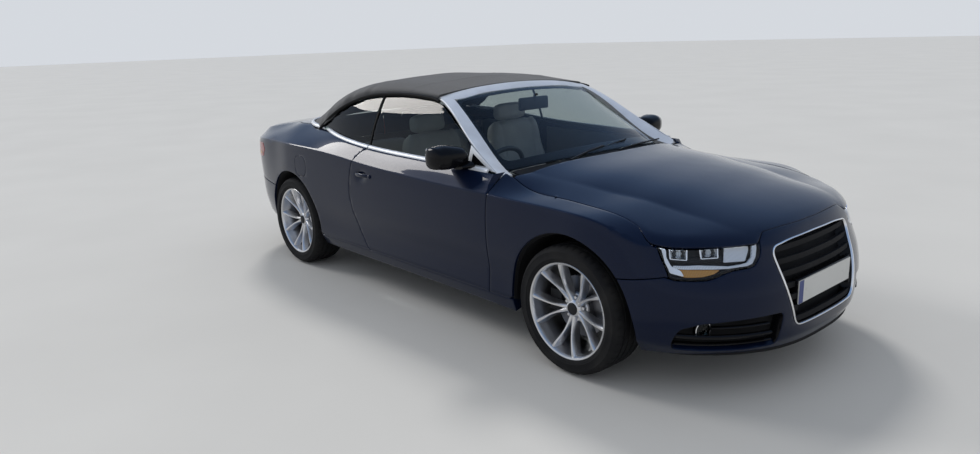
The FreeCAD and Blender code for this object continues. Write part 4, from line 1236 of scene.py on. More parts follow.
def lid_point(u, v):
    """The tail's skin up to the rim, and past it the deck, towards the rear axle's middle."""
    level = v / level_size
    x, y, z = skin_point(u, min(level, RIM))
    if level <= RIM:
        return x, y, z
    run = v - RIM * level_size
    dx, dy = x - rear_axle_x, y
    out = math.hypot(dx, dy)
    x, y = rear_axle_x + dx * (out - run) / out, dy * (out - run) / out
    deck = deck_height(x, y)
    near = smooth_step(run / 60)
    rim_deck = deck_height(rear_axle_x + dx, dy)
    return x, y, deck + (z - rim_deck) * (1 - near)


lid_front = -1640.0
lid_half = 636.0


def make_lid():
    """The boot lid: its front edge across the deck, then the shut line round the lamps to the bumper."""
    front = []
    for k in range(25):
        y = lid_half * k / 24
        a = math.atan2(y, rear_axle_x - lid_front)
        u = station_end - a * corner_radius
        rim_out = rim_at(u)[0]
        front.append((u, RIM * level_size + rim_out - math.hypot(y, rear_axle_x - lid_front)))
    side = level_run(at_rear(62), at_rear(43), RIM, 14)
    down = trace(straight([(563, 925), (563, 604)], 20), END, (at_rear(33.5), 4.9))
    low = trace(straight([(560, 606), (0, 607)], 30), END, (at_rear(33.5), 3.1))
    left = front + side[1:] + by_rear(lid_corner) + down + low[1:]
    outline = whole(left, round_tail)
    grid_panel("boot_lid_skin", outline, [], lid_point, from_tail, body="boot_lid_body", depth=lid_hem,
               step=18.0, replaces=["boot_lid"])


def make_tonneau():
    rim = rim_plan(at_side(-1180), at_rear(63), 40)
    rear = lid_front + 6
    half = [(rear, 0), (rear, 300), (rear, lid_half)] + rim[::-1]
    half = straight(half + [(-1180, 690), (-1300, 640), (-1400, 520), (-1450, 300), (-1460, 0)], 25)
    outline = whole(half, in_plan)
    grid_panel("tonneau_skin", outline, [], lambda x, y: (x, y, deck_height(x, y)), upwards, depth=14.0,
               step=22.0, replaces=["tonneau_cover"])


# Soft top: sections across the car (x, then y and z from the foot at the side to the middle)
roof_rows = [
    (180, (641, 1276), (640, 1284), (600, 1301), (400, 1322), (0, 1339)),
    (-132, (643, 1286), (642, 1300), (598, 1328), (400, 1352), (0, 1371)),
    (-372, (645, 1279), (646, 1296), (600, 1332), (400, 1360), (0, 1380)),
    (-543, (652, 1262), (652, 1284), (602, 1325), (400, 1358), (0, 1378)),
    (-860, (712, 1162), (700, 1200), (630, 1262), (410, 1318), (0, 1344)),
    (-1060, (745, 1045), (722, 1098), (645, 1180), (420, 1255), (0, 1290)),
    (-1200, (722, 1036), (700, 1064), (625, 1120), (410, 1190), (0, 1232)),
    (-1350, (655, 1044), (632, 1056), (560, 1083), (370, 1120), (0, 1160)),
    (-1440, (545, 1049), (520, 1056), (450, 1070), (300, 1090), (0, 1110)),
    (-1505, (330, 1053), (310, 1056), (260, 1060), (160, 1066), (0, 1070)),
]
roof_at = [0.0]
for before, after in zip(roof_rows, roof_rows[1:]):
    roof_at.append(roof_at[-1] + math.dist((before[0], before[5][1]), (after[0], after[5][1])))
roof_length = roof_at[-1]
roof_half = 900.0
roof_x = spline(roof_at, [row[0] for row in roof_rows])
roof_tracks = [tracks(roof_at, roof_rows, (k,)) for k in range(1, 6)]
bows = (300.0, 720.0, 1075.0)
bow_lift, slack, seam_lift = 2.6, 3.2, 1.5
cloth_seams = (0.17, 0.83)
roof_sections = {}


def roof_section(a):
    """The curve across the top at a distance back from the windscreen."""
    key = round(a, 1)
    if key not in roof_sections:
        half = [(y(a), z(a)) for y, z in roof_tracks]
        ring = half + [(-y, z) for y, z in half[-2::-1]]
        at = [0.0]
        for one, two in zip(ring, ring[1:]):
            at.append(at[-1] + max(1.0, math.dist(one, two)))
        at = [t / at[-1] for t in at]
        roof_sections[key] = (spline(at, [q[0] for q in ring]), spline(at, [q[1] for q in ring]))
    return roof_sections[key]


def roof_point(a, b, proud=0.0):
    """A point of the top; b runs across it from the left foot, 0 to 1."""
    y, z = [curve(b) for curve in roof_section(a)]
    ty, tz = [curve(b + 0.01) - curve(b - 0.01) for curve in roof_section(a)]
    size = math.hypot(ty, tz)
    ny, nz = (-tz / size, ty / size)
    if nz + ny * y * 0.002 < 0:
        ny, nz = -ny, -nz
    return Vector((roof_x(a), y + ny * proud, z + nz * proud))


def fabric_lift(a, b):
    """The cloth's own shape: raised over the bows, a little slack between them, with seams and soft folds."""
    across = math.sin(math.pi * min(max(b, 0.0), 1.0))
    lift = 0.0
    for bow in bows:
        lift += bow_lift * bump_at(a, bow, 17.0) * across ** 0.4
    held = [0.0] + list(bows) + [roof_length]
    for start, end in zip(held, held[1:]):
        if start <= a <= end:
            lift -= slack * math.sin(math.pi * (a - start) / (end - start)) * across
    for seam in cloth_seams:
        lift += seam_lift * bump_at(b, seam, 0.0045)
    side = min(b, 1 - b)
    folds = bump_at(side, 0.0, 0.13) * smooth_step((a - 560) / 220) * (1 - smooth_step((a - 1500) / 200))
    lift += folds * (2.4 * math.sin(a / 31.0 + 9 * side) + 1.6 * math.sin(a / 17.0 - 14 * side))
    lift += 0.8 * math.sin(a / 47.0 + 5.0 * b) * math.sin(7.0 * b + a / 90.0) * across
    return lift


def on_roof(proud=0.0, cloth=True):
    """Places on the top, with or without the cloth's own shape."""
    def where(a, b):
        t = (b + roof_half) / (2 * roof_half)
        return roof_point(a, t, proud + (fabric_lift(a, t) if cloth else 0.0))
    return where


def roof_find(x, y):
    """(a, b) of the top's point over a place in the plan."""
    a = halving(0.0, roof_length, lambda back: roof_x(back) <= x)
    b = halving(0.02, 0.98, lambda across: roof_section(a)[0](across) <= y)
    return a, b * 2 * roof_half - roof_half


window_plan = [(-930, -430), (-930, 430), (-1250, 492), (-1288, 440), (-1288, -440), (-1250, -492)]


def window_hole(grow=0.0):
    points = rounded([(x + math.copysign(grow, x + 1100), y + math.copysign(grow, y))
                      for x, y in window_plan], 45)
    return [roof_find(x, y) for x, y in filled(points, 30)]


def inwards_from_roof(p):
    return p - Vector((-500, 0, 700))


def run_length(points):
    """The length of a line of points, in metres."""
    return sum(math.dist(a, b) for a, b in zip(points, points[1:])) * MM


def make_soft_top():
    side, front, rear = roof_half - 2, 4, roof_length - 2
    edge = filled([(front, -side), (rear, -side), (rear, side), (front, side)], 24)
    cloth = grid_panel("soft_top_cloth", edge, [window_hole()], on_roof(), inwards_from_roof, "fabric_top",
                       depth=6.0, step=14.0, gap=1.0, bend=2.5, smooth=60.0, replaces=["soft_top"])
    liner = grid_panel("headliner", edge, [window_hole(4)], on_roof(-17.0, False), inwards_from_roof,
                       "carpet", depth=3.0, step=34.0, gap=16.0, bend=2.0, smooth=60.0)
    for made, held_by in ((cloth, ["screen_frame", "belt_strip_rear"]), (liner, ["soft_top_cloth"])):
        across = max(run_length([on_roof()(a, b) for b in range(-898, 899, 20)]) for a in (300, 700, 1100))
        along = run_length([on_roof()(a, 0) for a in range(4, int(roof_length) - 2, 20)])
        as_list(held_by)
    grid_panel("rear_glass", window_hole(6), [], on_roof(-3.0, False), inwards_from_roof, "glass",
               depth=pane_depth, step=40.0, gap=0.5, bend=0.5, replaces=["rear_window"])
    rim = [on_roof(1.0, False)(*p) for p in window_hole(2)]
    verts, faces = sweep(rim, slab_profile(16, 5), up=(-0.5, 0, 0.85), closed=True)
    piece("rear_glass_seal", verts, faces, "rubber_seal")


# Windscreen: (base point, top point) from the middle outwards
screen_lines = [
    ((960, 0, 960), (270, 0, 1305)),
    ((952, 200, 957), (268, 190, 1301)),
    ((925, 380, 949), (263, 360, 1291)),
    ((880, 530, 935), (257, 470, 1281)),
    ((801, 684, 908), (249, 573, 1267)),
]
screen_ends = [[(x, -y, z) for x, y, z in line] for line in screen_lines[:0:-1]] + screen_lines
screen_at = [line[0][1] for line in screen_ends]
screen_curves = [[spline(screen_at, [line[end][k] for line in screen_ends]) for k in range(3)]
                 for end in (0, 1)]
screen_width, screen_height = 1368.0, 775.0
screen_bulge = 5.0
screen_way = Vector((0.44, 0, 0.9))


def on_screen(proud=0.0):
    """Points of the windscreen from (across, up) in millimetres of its own size."""
    def where(u, v):
        t = v / screen_height
        base, top = [Vector([curve(u) for curve in curves]) for curves in screen_curves]
        p = base + (top - base) * t
        return p + screen_way * (proud + screen_bulge * 4 * t * (1 - t) * (1 - (u / 700.0) ** 2))
    return where


def screen_edge(margin):
    w = screen_width / 2
    ring = [(-w + margin, margin), (w - margin, margin), (w - margin, screen_height - margin),
            (-w + margin, screen_height - margin)]
    return filled(rounded(ring, 60), 40)


# Wipers: pivot, tip of the arm, length of the blade, and how far the arm rises
wiper_rows = [
    ((956, -330, 944), (900, 205, 983), 560, 14),
    ((960, 90, 950), (893, 590, 950), 430, 7),
]


def make_windscreen():
    grid_panel("windscreen_glass", screen_edge(0), [], on_screen(), lambda p: screen_way, "glass",
               depth=pane_depth, step=40.0, gap=4.0, bend=0.5, replaces=["windscreen"])
    inner = [(u, v + (52 if v < 300 else -2)) for u, v in screen_edge(32)]
    grid_panel("windscreen_border", screen_edge(2), [inner], on_screen(-6.0), lambda p: screen_way,
               "gloss_black", depth=0.5, step=40.0, gap=0.2, bend=0.3)
    mirror = soft_box((326, -128, 1160), (352, 128, 1244), 12)
    stem = sweep([(345, 0, 1215), (352, 0, 1255), (372, 0, 1262)], ring_profile(9))
    piece("cabin_mirror", *merged([mirror, stem]), "dark_plastic")
    arms = []
    for pivot, tip, blade, rise in wiper_rows:
        a, b = Vector(pivot), Vector(tip)
        arms.append(sweep([a + Vector((5, 0, 2)), a.lerp(b, 0.35) + Vector((0, 0, rise)),
                           a.lerp(b, 0.62) + Vector((0, 0, rise))], slab_profile(14, 6), closed=False))
        side = (b - a).normalized()
        mid = a.lerp(b, 0.62)
        arms.append(sweep([mid - side * blade * 0.5 + Vector((0, 0, 5)), mid + Vector((0, 0, 6)),
                           mid + side * blade * 0.42 + Vector((0, 0, 5))], slab_profile(11, 8, 0.6)))
    piece("wipers", *merged(arms), "dark_plastic")


# Windscreen frame: its pillars, as (x, then y and z of the outer edge and of the glass's edge)
pillar_rows = [
    (905, (802, 902), (716, 900)),
    (815, (788, 944), (690, 922)),
    (560, (741, 1088), (638, 1078)),
    (252, (655, 1259), (574, 1267)),
    (180, (640, 1283), (550, 1291)),
]
# The header over the glass, as (y, then x and z of its front and its rear)
header_rows = [
    (0, (270, 1305), (187, 1337)),
    (200, (268, 1301), (185, 1332)),
    (400, (262, 1288), (180, 1318)),
    (560, (252, 1269), (176, 1296)),
    (636, (222, 1272), (170, 1282)),
]


def make_frame():
    """The bright windscreen frame: two pillars and the header."""
    curves = tracks([row[0] for row in pillar_rows[::-1]], pillar_rows[::-1], (1, 2))
    rows = []
    for i in range(29):
        x = 890 - 690 * i / 28
        y0, z0, y1, z1 = [curve(x) for curve in curves]
        outer, inner = Vector((x, y0, z0)), Vector((x, y1, z1))
        across = inner - outer
        crown = Vector((0.25, 0.55, 0.7)) * 4.0
        rows.append([outer + Vector((0, -9, -26)), outer + Vector((0, -4, -17)),
                     outer + Vector((0, -0.5, -8)), outer + across * 0.04 + Vector((0, 0, -1)),
                     outer + across * 0.16 + crown * 0.7, outer + across * 0.5 + crown,
                     outer + across * 0.82 + crown * 0.7, inner - across * 0.02, inner + Vector((0, 3, -8)),
                     inner + Vector((0, 8, -30)), outer + across * 0.6 + Vector((0, 0, -42))])
    left = loft([[tuple(p) for p in row] for row in rows])
    both = [(-row[0], row[1], row[2]) for row in header_rows[:0:-1]] + header_rows
    curves = tracks([row[0] for row in both], both, (1, 2))
    rows = []
    for i in range(41):
        y = -632 + 1264 * i / 40
        x0, z0, x1, z1 = [curve(y) for curve in curves]
        front, rear = Vector((x0, y, z0)), Vector((x1, y, z1))
        across = rear - front
        rows.append([front + Vector((-14, 0, -24)), front + Vector((-1, 0, -5)), front,
                     front + across * 0.12 + Vector((0, 0, 2)), front + across * 0.45 + Vector((0, 0, 4)),
                     front + across * 0.85 + Vector((0, 0, 2)), rear, rear + Vector((-2, 0, -8)),
                     rear + Vector((4, 0, -34)), front + across * 0.4 + Vector((0, 0, -38))])
    header = loft([[tuple(p) for p in row] for row in rows])
    piece("screen_frame", *merged([left, flipped_y(left), header]), "bright_trim", smooth=50.0,
          replaces=["windscreen_frame"])


# Side glass, a leaning wall: (x, then y and z of three rows)
glass_rows = [
    (870, (800, 905), (742, 1095), (640, 1290)),
    (200, (802, 905), (742, 1095), (640, 1290)),
    (-350, (802, 920), (742, 1100), (640, 1290)),
    (-800, (786, 960), (735, 1100), (640, 1290)),
    (-1150, (730, 1000), (700, 1100), (620, 1290)),
]
glass_xs = [-row[0] for row in glass_rows]
glass_curves = [tracks(glass_xs, glass_rows, (k,)) for k in (1, 2, 3)]


def glass_y(x, z, proud=0.0):
    """The side glass's distance from the middle plane at a place in the side view."""
    (y0, z0), (y1, z1), (y2, z2) = [[curve(-x) for curve in pair] for pair in glass_curves]
    t = (z - z0) / (z2 - z0)
    m = (z1 - z0) / (z2 - z0)
    bulge = y1 - (y0 + (y2 - y0) * m)
    return y0 + (y2 - y0) * t + bulge * (t * (1 - t)) / (m * (1 - m)) + proud


def on_glass(proud=0.0):
    return lambda x, z: (x, glass_y(x, z, proud), z)


window_top = [(838, 929), (815, 939), (560, 1079), (300, 1217), (209, 1258), (100, 1272), (-132, 1280),
              (-378, 1273), (-543, 1255), (-700, 1216), (-860, 1156), (-985, 1088), (-1110, 1008)]
window_curve = through(window_top, 90)
belt_line = [(838, 920), (550, 934), (100, 946), (-350, 962), (-800, 1000), (-1110, 1006)]


def window_outline(x_from, x_to):
    """Outline of a side window between two places along the car."""
    top = [p for p in window_curve if x_to < p[0] < x_from]
    belt = spline([-p[0] for p in belt_line], [p[1] - 26 for p in belt_line])
    top_z = spline([-p[0] for p in window_curve], [p[1] for p in window_curve])
    xs = [x_from + (x_to - x_from) * k / 20 for k in range(21)]
    bottom = [(x, belt(-x)) for x in xs]
    front = (x_from, max(belt(-x_from) + 6, top_z(-x_from) - 2))
    return bottom + [(x_to, top_z(-x_to) - 2)] + top[::-1] + [front]


def make_side_glass():
    """The doors' and quarters' panes with their seals."""
    both_sides(grid_panel("door_window_left", window_outline(836, -366), [], on_glass(), left_wall,
                          "side_tint", body="door_left_body", depth=pane_depth, step=45.0, gap=1.0, bend=0.5,
                          replaces=["door_glass_left"]))
    both_sides(grid_panel("quarter_window_left", window_outline(-382, -1098), [], on_glass(), left_wall,
                          "side_tint", depth=pane_depth, step=45.0, gap=1.0, bend=0.5,
                          replaces=["quarter_windows"]))
    # Seals round the openings and between the panes
    rail = [(x, glass_y(x, z) + 7, z + 9) for x, z in window_curve if x < 230]
    rail.append((-1128, glass_y(-1128, 1000) + 7, 1000))
    top = sweep(rail, slab_profile(17, 20, 0.5), up=(0, 0.35, 1))
    bar = [(-374, glass_y(-374, z) + 1.5, z) for z in (948, 1000, 1080, 1160, 1240, 1276)]
    bar = sweep(bar, slab_profile(8, 17, 0.4), up=(1, 0, 0))
    both_sides(piece("window_seals_left", *merged([top, bar]), "rubber_seal"))


def belt_path(x_from, x_to, count, out, up):
    """A line along the belt, just inside the skin's upper edge."""
    xs = [x_from + (x_to - x_from) * k / count for k in range(count + 1)]
    return [(x, y + out, z + up) for x, (_, y, z) in ((x, skin_point(at_side(x), RIM)) for x in xs)]


def make_belt():
    """The bright strip along the doors and round the foot of the top."""
    strip = [(-14, -7), (14, -7), (15, -1), (10, 3.5), (0, 5), (-10, 3.5), (-15, -1)]
    front = belt_path(812, -343, 34, -10.0, 5.0)
    both_sides(piece("belt_strip_door_left", *sweep(front, strip, up=(0, 0.8, 0.6)), "bright_trim",
                     "door_left_body"))
    inner = belt_path(812, -343, 34, -30.0, -2.0)
    both_sides(piece("window_wiper_left", *sweep(inner, slab_profile(9, 12), up=(0, 0.5, 0.87)),
                     "rubber_seal", "door_left_body"))
    side = belt_path(-352, -1060, 22, -10.0, 5.0)
    foot = [(-1200, 728, 1040), (-1290, 698, 1046), (-1370, 655, 1049), (-1440, 566, 1054),
            (-1488, 450, 1057), (-1512, 320, 1059), (-1520, 160, 1061), (-1522, 0, 1062)]
    half = through(side[:-2:3] + side[-2:-1] + foot, 90)
    path = half + [(x, -y, z) for x, y, z in half[-2::-1]]
    verts = []
    n = len(path)
    for i, p in enumerate(path):
        a, b = Vector(path[max(0, i - 1)]), Vector(path[min(n - 1, i + 1)])
        run = (b - a).normalized()
        away = run.cross(Vector((0, 0, 1))).normalized()
        if away.dot(Vector(p) - Vector((-500, 0, p[2]))) < 0:
            away = -away
        up = (away * 0.72 + Vector((0, 0, 0.69))).normalized()
        side_way = run.cross(up).normalized()
        verts += [tuple(Vector(p) + side_way * u + side_way.cross(run) * v) for u, v in strip]
    piece("belt_strip_rear", verts, grid_faces(n, len(strip), closed_columns=True), "bright_trim",
          outwards=True)


# Insides of the doors and quarters, and their shut faces
door_depth = 74.0
shell_low, shell_high = 0.9, 5.85
rear_at = spline([p[1] for p in rear_shut], [p[0] for p in rear_shut])


def make_door_insides():
    """The door's shell behind its skin, with its card and pull."""
    rows = []
    for k in range(15):
        level = shell_low + (shell_high - shell_low) * k / 14
        z = skin_point(at_side(300), level)[2]
        x_rear = rear_at(min(max(z, rear_shut[0][1]), rear_shut[-1][1])) + 14
        x_front = 812.0
        outer = [x_front + (x_rear - x_front) * i / 12 for i in range(13)]
        skin = [(x, *skin_point(at_side(x), level)[1:]) for x in outer]
        lean = 40 * smooth_step((level - 4.2) / 1.6)
        # The shell's ends stand back from the shut lines
        back = [4] + [0] * 11 + [-8]
        inner = [(x + dx, min(y - door_depth + lean * 0.3, 838 - lean), z)
                 for (x, y, z), dx in zip(skin[::-1], back)]
        rows.append([(x, y - 13, z) for x, y, z in skin] + inner)
    both_sides(piece("door_shell_left", *loft(rows), "body_paint", "door_left_body"))
    card = merged([soft_box((-330, 788, 330), (770, 816, 905), 12),
                   soft_box((-260, 742, 640), (420, 806, 690), 14),
                   soft_box((-180, 770, 360), (560, 806, 480), 16)])
    both_sides(piece("door_card_left", *card, "trim_leather", "door_left_body", smooth=40.0))
    pull = sweep([(430, 790, 735), (470, 770, 742), (560, 768, 745), (600, 790, 742)], ring_profile(9))
    both_sides(piece("door_pull_left", *pull, "bright_trim", "door_left_body"))


def make_side_insides():
    """The body's shut face behind the door, the side trim by the rear seat and the sill's cover."""
    rows = []
    for x, z in straight(rear_shut, 40):
        u, v = find((x, z), SIDE, (at_side(x), 3))
        _, y, zz = skin_point(u, v)
        rows.append([(x - 5, y - 10, zz), (x - 6, y - 40, zz), (x - 10, y - 66, zz), (x - 60, y - 72, zz)])
    made = piece("shut_face_left", *loft(rows, closed=False), "body_paint")
    thick(made, 1.5)
    both_sides(made)
    side = soft_box((-1000, 700, 345), (-470, 790, 930), 22)
    both_sides(piece("rear_side_trim_left", *side, "trim_leather"))
    sill = merged([soft_box((-920, 752, 254), (1060, 868, 281), 5),
                   soft_box((-250, 770, 279), (700, 838, 283), 2)])
    both_sides(piece("sill_cover_left", *sill, "dark_plastic"))


# Wheels, made at the origin with +Y outwards

spoke_pairs = 5
spoke_turn = 72
bolt_circle = 57
# A spoke's section, as (share of its width, out, share of its depth)
spoke_section = [(-1.0, 0, 0.06), (-0.7, 0, 0.0), (0.7, 0, 0.0), (1.0, 0, 0.06), (1.3, 1.5, 0.35),
                 (1.5, 5.5, 1.0), (-1.5, -5.5, 1.0), (-1.3, -1.5, 0.35)]
groove_places = (62.0, 22.0, -22.0, -62.0)


def wheel_parts():
    """(points, faces) of a wheel: barrel with its lip, five pairs of curved spokes, hub and bolts."""
    barrel = lathe([(241, -113), (229, -113), (227, -98), (211, -70), (211, 20), (221, 60), (229, 92),
                    (230, 102), (235, 109.5), (243, 112.5), (246, 110), (245, 102), (231, 82), (225, 40),
                    (219, -60), (237, -100)], 110)
    parts = [barrel, lathe([(0.1, 61), (30, 61), (33, 60), (40, 57), (46, 51), (49, 42), (52, 30), (0.1, 28)],
                           60), lathe([(0.1, 32), (70, 32), (75, 27), (76, 0), (0.1, 0)], 60)]
    for pair in range(spoke_pairs):
        for side in (-1, 1):
            rows = []
            for k in range(19):
                t = k / 18
                r = mix(38, 233, t)
                middle = mix(8.5, 17.0,
                             t ** 0.75) - 3.4 * math.sin(math.pi * min(1.0, t * 1.05)) ** 2 * (1 - t)
                width = mix(8.5, 5.4, smooth_step(t * 2.2)) + 3.6 * smooth_step((t - 0.55) / 0.45)
                face = mix(58, 105, smooth_step(t * 0.95) * 0.55 + t * 0.45)
                deep = mix(24, 48, smooth_step(t * 2)) - 8 * smooth_step((t - 0.7) / 0.3)
                ring = []
                for across, out, down in spoke_section:
                    a = math.radians(pair * spoke_turn - 29 + side * middle) + (across * width + out) / r
                    ring.append((r * math.sin(a), face - deep * down, r * math.cos(a)))
                rows.append(ring)
            parts.append(loft(rows))
        a = math.radians(pair * spoke_turn + 7)
        bolt = lathe([(0.1, 47), (8, 47), (9.5, 45), (10, 32), (0.1, 30)], 6)
        parts.append(moved(bolt, (bolt_circle * math.sin(a), 0, bolt_circle * math.cos(a))))
    return merged(parts)


def tyre_part():
    """Sidewall with its rings, shoulder cuts and four grooves round the tread."""
    outer = [(244, 110), (249, 116), (256, 118.5), (262, 120), (264, 122.3), (268, 122.3), (270, 121.4),
             (284, 122.3), (295, 120.8), (298, 121.9), (302, 119.6), (308, 114.5), (314, 107), (319.5, 99),
             (323, 90), (325, 80)]
    grooves = []
    for w in groove_places:
        grooves += [(325.8, w + 6), (319.5, w + 4), (319.5, w - 4), (325.8, w - 6)]
    inner = [(r, -w) for r, w in outer[::-1]]
    profile = outer + grooves + inner + [(240, -100), (300, -96), (306, 0), (300, 96), (240, 100)]
    verts, faces = lathe(profile, 240)
    n = len(profile)
    out = []
    for i, (x, y, z) in enumerate(verts):
        k, j = divmod(i, n)
        if abs(profile[j][1]) in (99, 90, 80) and k % 5 == 0:
            x, z = x * 0.986, z * 0.986
        out.append((x, y, z))
    return out, faces


def make_wheels():
    wheel, tyre = wheel_parts(), tyre_part()
    cap = lathe([(0.1, 67), (20, 66.5), (28, 65), (31, 62.5), (31, 58), (0.1, 58)], 40)
    disc = merged([lathe([(74, -1), (154, -1), (155, -3), (155, -9), (74, -9)], 72),
                   lathe([(74, -15), (155, -15), (155, -21), (154, -23), (74, -23)], 72),
                   lathe([(74, 30), (80, 26), (84, 0), (84, -22), (60, -23), (60, 30)], 48)])
    for place, x, y in (("front", front_axle_x, front_wheel_y), ("rear", rear_axle_x, rear_wheel_y)):
        for side in ("left", "right"):
            corner = "%s_%s" % (place, side)
            for name, part, material, replaced in (
                    ("rim", wheel, "alloy", ["wheel_" + corner]), ("tread", tyre, "tyre", ["tyre_" + corner]),
                    ("cap", cap, "dark_plastic", ()), ("disc", disc, "disc", ())):
                part = moved(part, (x, y, axle_z))
                if side == "right":
                    part = flipped_y(part)
                piece("%s_%s" % (name, corner), *part, material, "wheel_%s_body" % corner, 32.0, replaced,
                      True)


# The arch liners' section, as (across the car, away from the wheel) from the skin's edge
liner_section = [(-12, 4), (-14, -3), (-30, -9), (-70, -14), (-420, -16), (-420, 2), (-40, 8)]


def make_arch_liners():
    """Black liners just inside the wheel arches, from the skin's edge to the housings."""
    parts = []
    for x, radius, start, end in ((front_axle_x, front_arch, -16, 186), (rear_axle_x, rear_arch, -4, 196)):
        arch = side_trace(arc_points(x, radius + 3, start, end, 60), (at_side(x + radius * 0.9), 2.5))
        rows = []
        for rim_x, rim_y, rim_z in (on_skin(*p) for p in arch):
            away = Vector((rim_x - x, 0, rim_z - axle_z)).normalized()
            rim = Vector((rim_x, rim_y, rim_z))
            rows.append([tuple(rim + Vector((0, inwards, 0)) + away * raised)
                         for inwards, raised in liner_section])
        parts.append(loft(rows))
    both_sides(piece("arch_liners_left", *merged(parts), "black_structure", smooth=50.0, outwards=True))


# Front: grille, plates, lamps and vents

def patch(name, corners, proud, material, depth, corner):
    """A piece that follows the nose's skin, from corners in (degrees, level)."""
    loop = filled(rounded(by_front(corners), corner, pieces=3), 14)
    return grid_panel(name, loop, [], skin_at(proud), from_lamps, material, ROOT, 10.0, depth, 0.0, 1.0)


def hoop(loop, rings):
    """A moulding along a loop on the skin, as (inset, proud) places of its section."""
    rows = [[skin_at(proud)(u, v) for u, v in inset(loop, gap)] for gap, proud in rings]
    return [p for row in rows for p in row], grid_faces(len(rows), len(rows[0]), True, True)


def hole_half_width(z):
    """Half the grille opening's width at a height."""
    corners = [(308, 280), (330, 299), (500, 345), (650, 372), (682, 350), (700, 230)]
    for (z0, w0), (z1, w1) in zip(corners, corners[1:]):
        if z <= z1:
            return w0 + (w1 - w0) * (z - z0) / (z1 - z0)


def make_grille():
    """The grille's frame and bars, with what carries the plates."""
    loop = thinned(grille_hole(), 6)
    frame_part = hoop(loop, [(-1, -8), (-1, 1.0), (0.5, 3.0), (3.5, 3.8), (8, 3.2), (10.5, 0.5), (11, -12)])
    piece("grille_frame", *frame_part, "chrome", smooth=40.0, replaces=["grille"], outwards=True)
    piece("grille_wall", *hoop(loop, [(9.5, -6), (11, -60), (14, -60), (12.5, -6)]), "gloss_black",
          outwards=True)
    bars = []
    for k in range(7):
        z = 337 + 54 * k
        w = hole_half_width(z) - 15
        runs = [(w, 266), (-266, -w)] if 388 < z < 530 else [(w, -w)]
        for start, end in runs:
            line = trace([(mix(start, end, i / 22), z) for i in range(23)], END,
                         find((start, z), END, (start, 3.5)))
            path = [skin_at(-24)(*p) for p in line]
            bars.append(sweep(path, [(-12, -13), (6, -11), (11, -6), (12, 0), (9, 7), (3, 12), (-12, 14)]))
    piece("grille_bars", *merged(bars), "black_structure", smooth=40.0)
    grid_panel("grille_back", loop, [], skin_at(-58), from_lamps, "black_structure", step=24.0, depth=2.0,
               gap=6.0, bend=0.5)
    holder = soft_box((2250, -262, 398), (2281.5, 262, 519), 4)
    piece("plate_holder_front", *holder, "gloss_black")
    screws = [moved(lathe([(0.1, 0), (5, 0), (6, -1), (6, -3), (0.1, -3)], 16), (2288.4, y, 459),
                    Matrix.Rotation(math.radians(-90), 3, "Z")) for y in (-190, 190)]
    piece("plate_screws", *merged(screws), "plate_white")
    piece("plate_band_front", *soft_box((2286.4, -259, 404), (2287.6, -218, 513), 0.4, 1), "plate_blue")
    piece("plate_band_rear", *soft_box((-2312.2, 218, 656), (-2310.6, 259, 765), 0.4, 1), "plate_blue",
          "boot_lid_body")


def lamp_loop():
    inner = by_front(lamp_inner)
    outer = by_front(lamp_outer)
    top = level_run(at_front(61.3), at_front(30.2), RIM, 16)
    return thinned(rounded(inner, 9, closed=False, pieces=3) + outer[1:] + top[1:-1], 4)


# What lies behind the lamp's lens: name, corners as (degrees from the nose, level), height over the skin,
# material, depth, rounding of the corners
lamp_patches = [
    ("lamp_end_left", [(60.3, 5.9), (59.5, 5.0), (58.4, 4.3), (57.1, 3.86), (53.5, 3.78), (54.3, 3.96),
                       (56.9, 4.16), (58.2, 4.6), (59.0, 5.9)], -10, "bright_trim", 14, 6),
    ("lamp_guide_left", [(56.3, 4.2), (53.4, 4.23), (49.9, 4.27), (45.6, 4.22), (41.4, 4.15), (37.9, 4.18),
                         (35.2, 4.24), (33.6, 4.5), (33.1, 4.95), (33.0, 5.75), (31.5, 5.75), (31.6, 4.9),
                         (32.2, 4.5), (33.6, 4.17), (35.4, 4.09), (38, 4.08), (41.4, 4.05), (45.6, 4.06),
                         (49.9, 4.08), (53.4, 4.06), (56, 4.05)], -11, "lamp_white", 8, 3),
    ("lamp_amber_left", [(55.4, 4.0), (49.9, 4.02), (43.8, 3.99), (45.6, 3.86), (48.5, 3.77), (53.0, 3.74),
                         (55.2, 3.8)], -15, "lamp_amber", 8, 6),
    ("lamp_floor_left", [(57.5, 4.3), (44, 4.34), (34, 4.34), (33.6, 4.6), (57.8, 4.6)], -34, "gloss_black",
     3, 6),
    ("lamp_mirror_left", [(42.4, 4.32), (35.6, 4.3), (34.2, 4.8), (34.0, 5.75), (41.6, 5.75)], -24,
     "lamp_white", 4, 6),
]


# The two lamps of a side: from and to in degrees, low and high level
lamp_boxes = [(52.6, 57.4, 4.5, 5.75), (44.0, 49.2, 4.56, 5.7)]


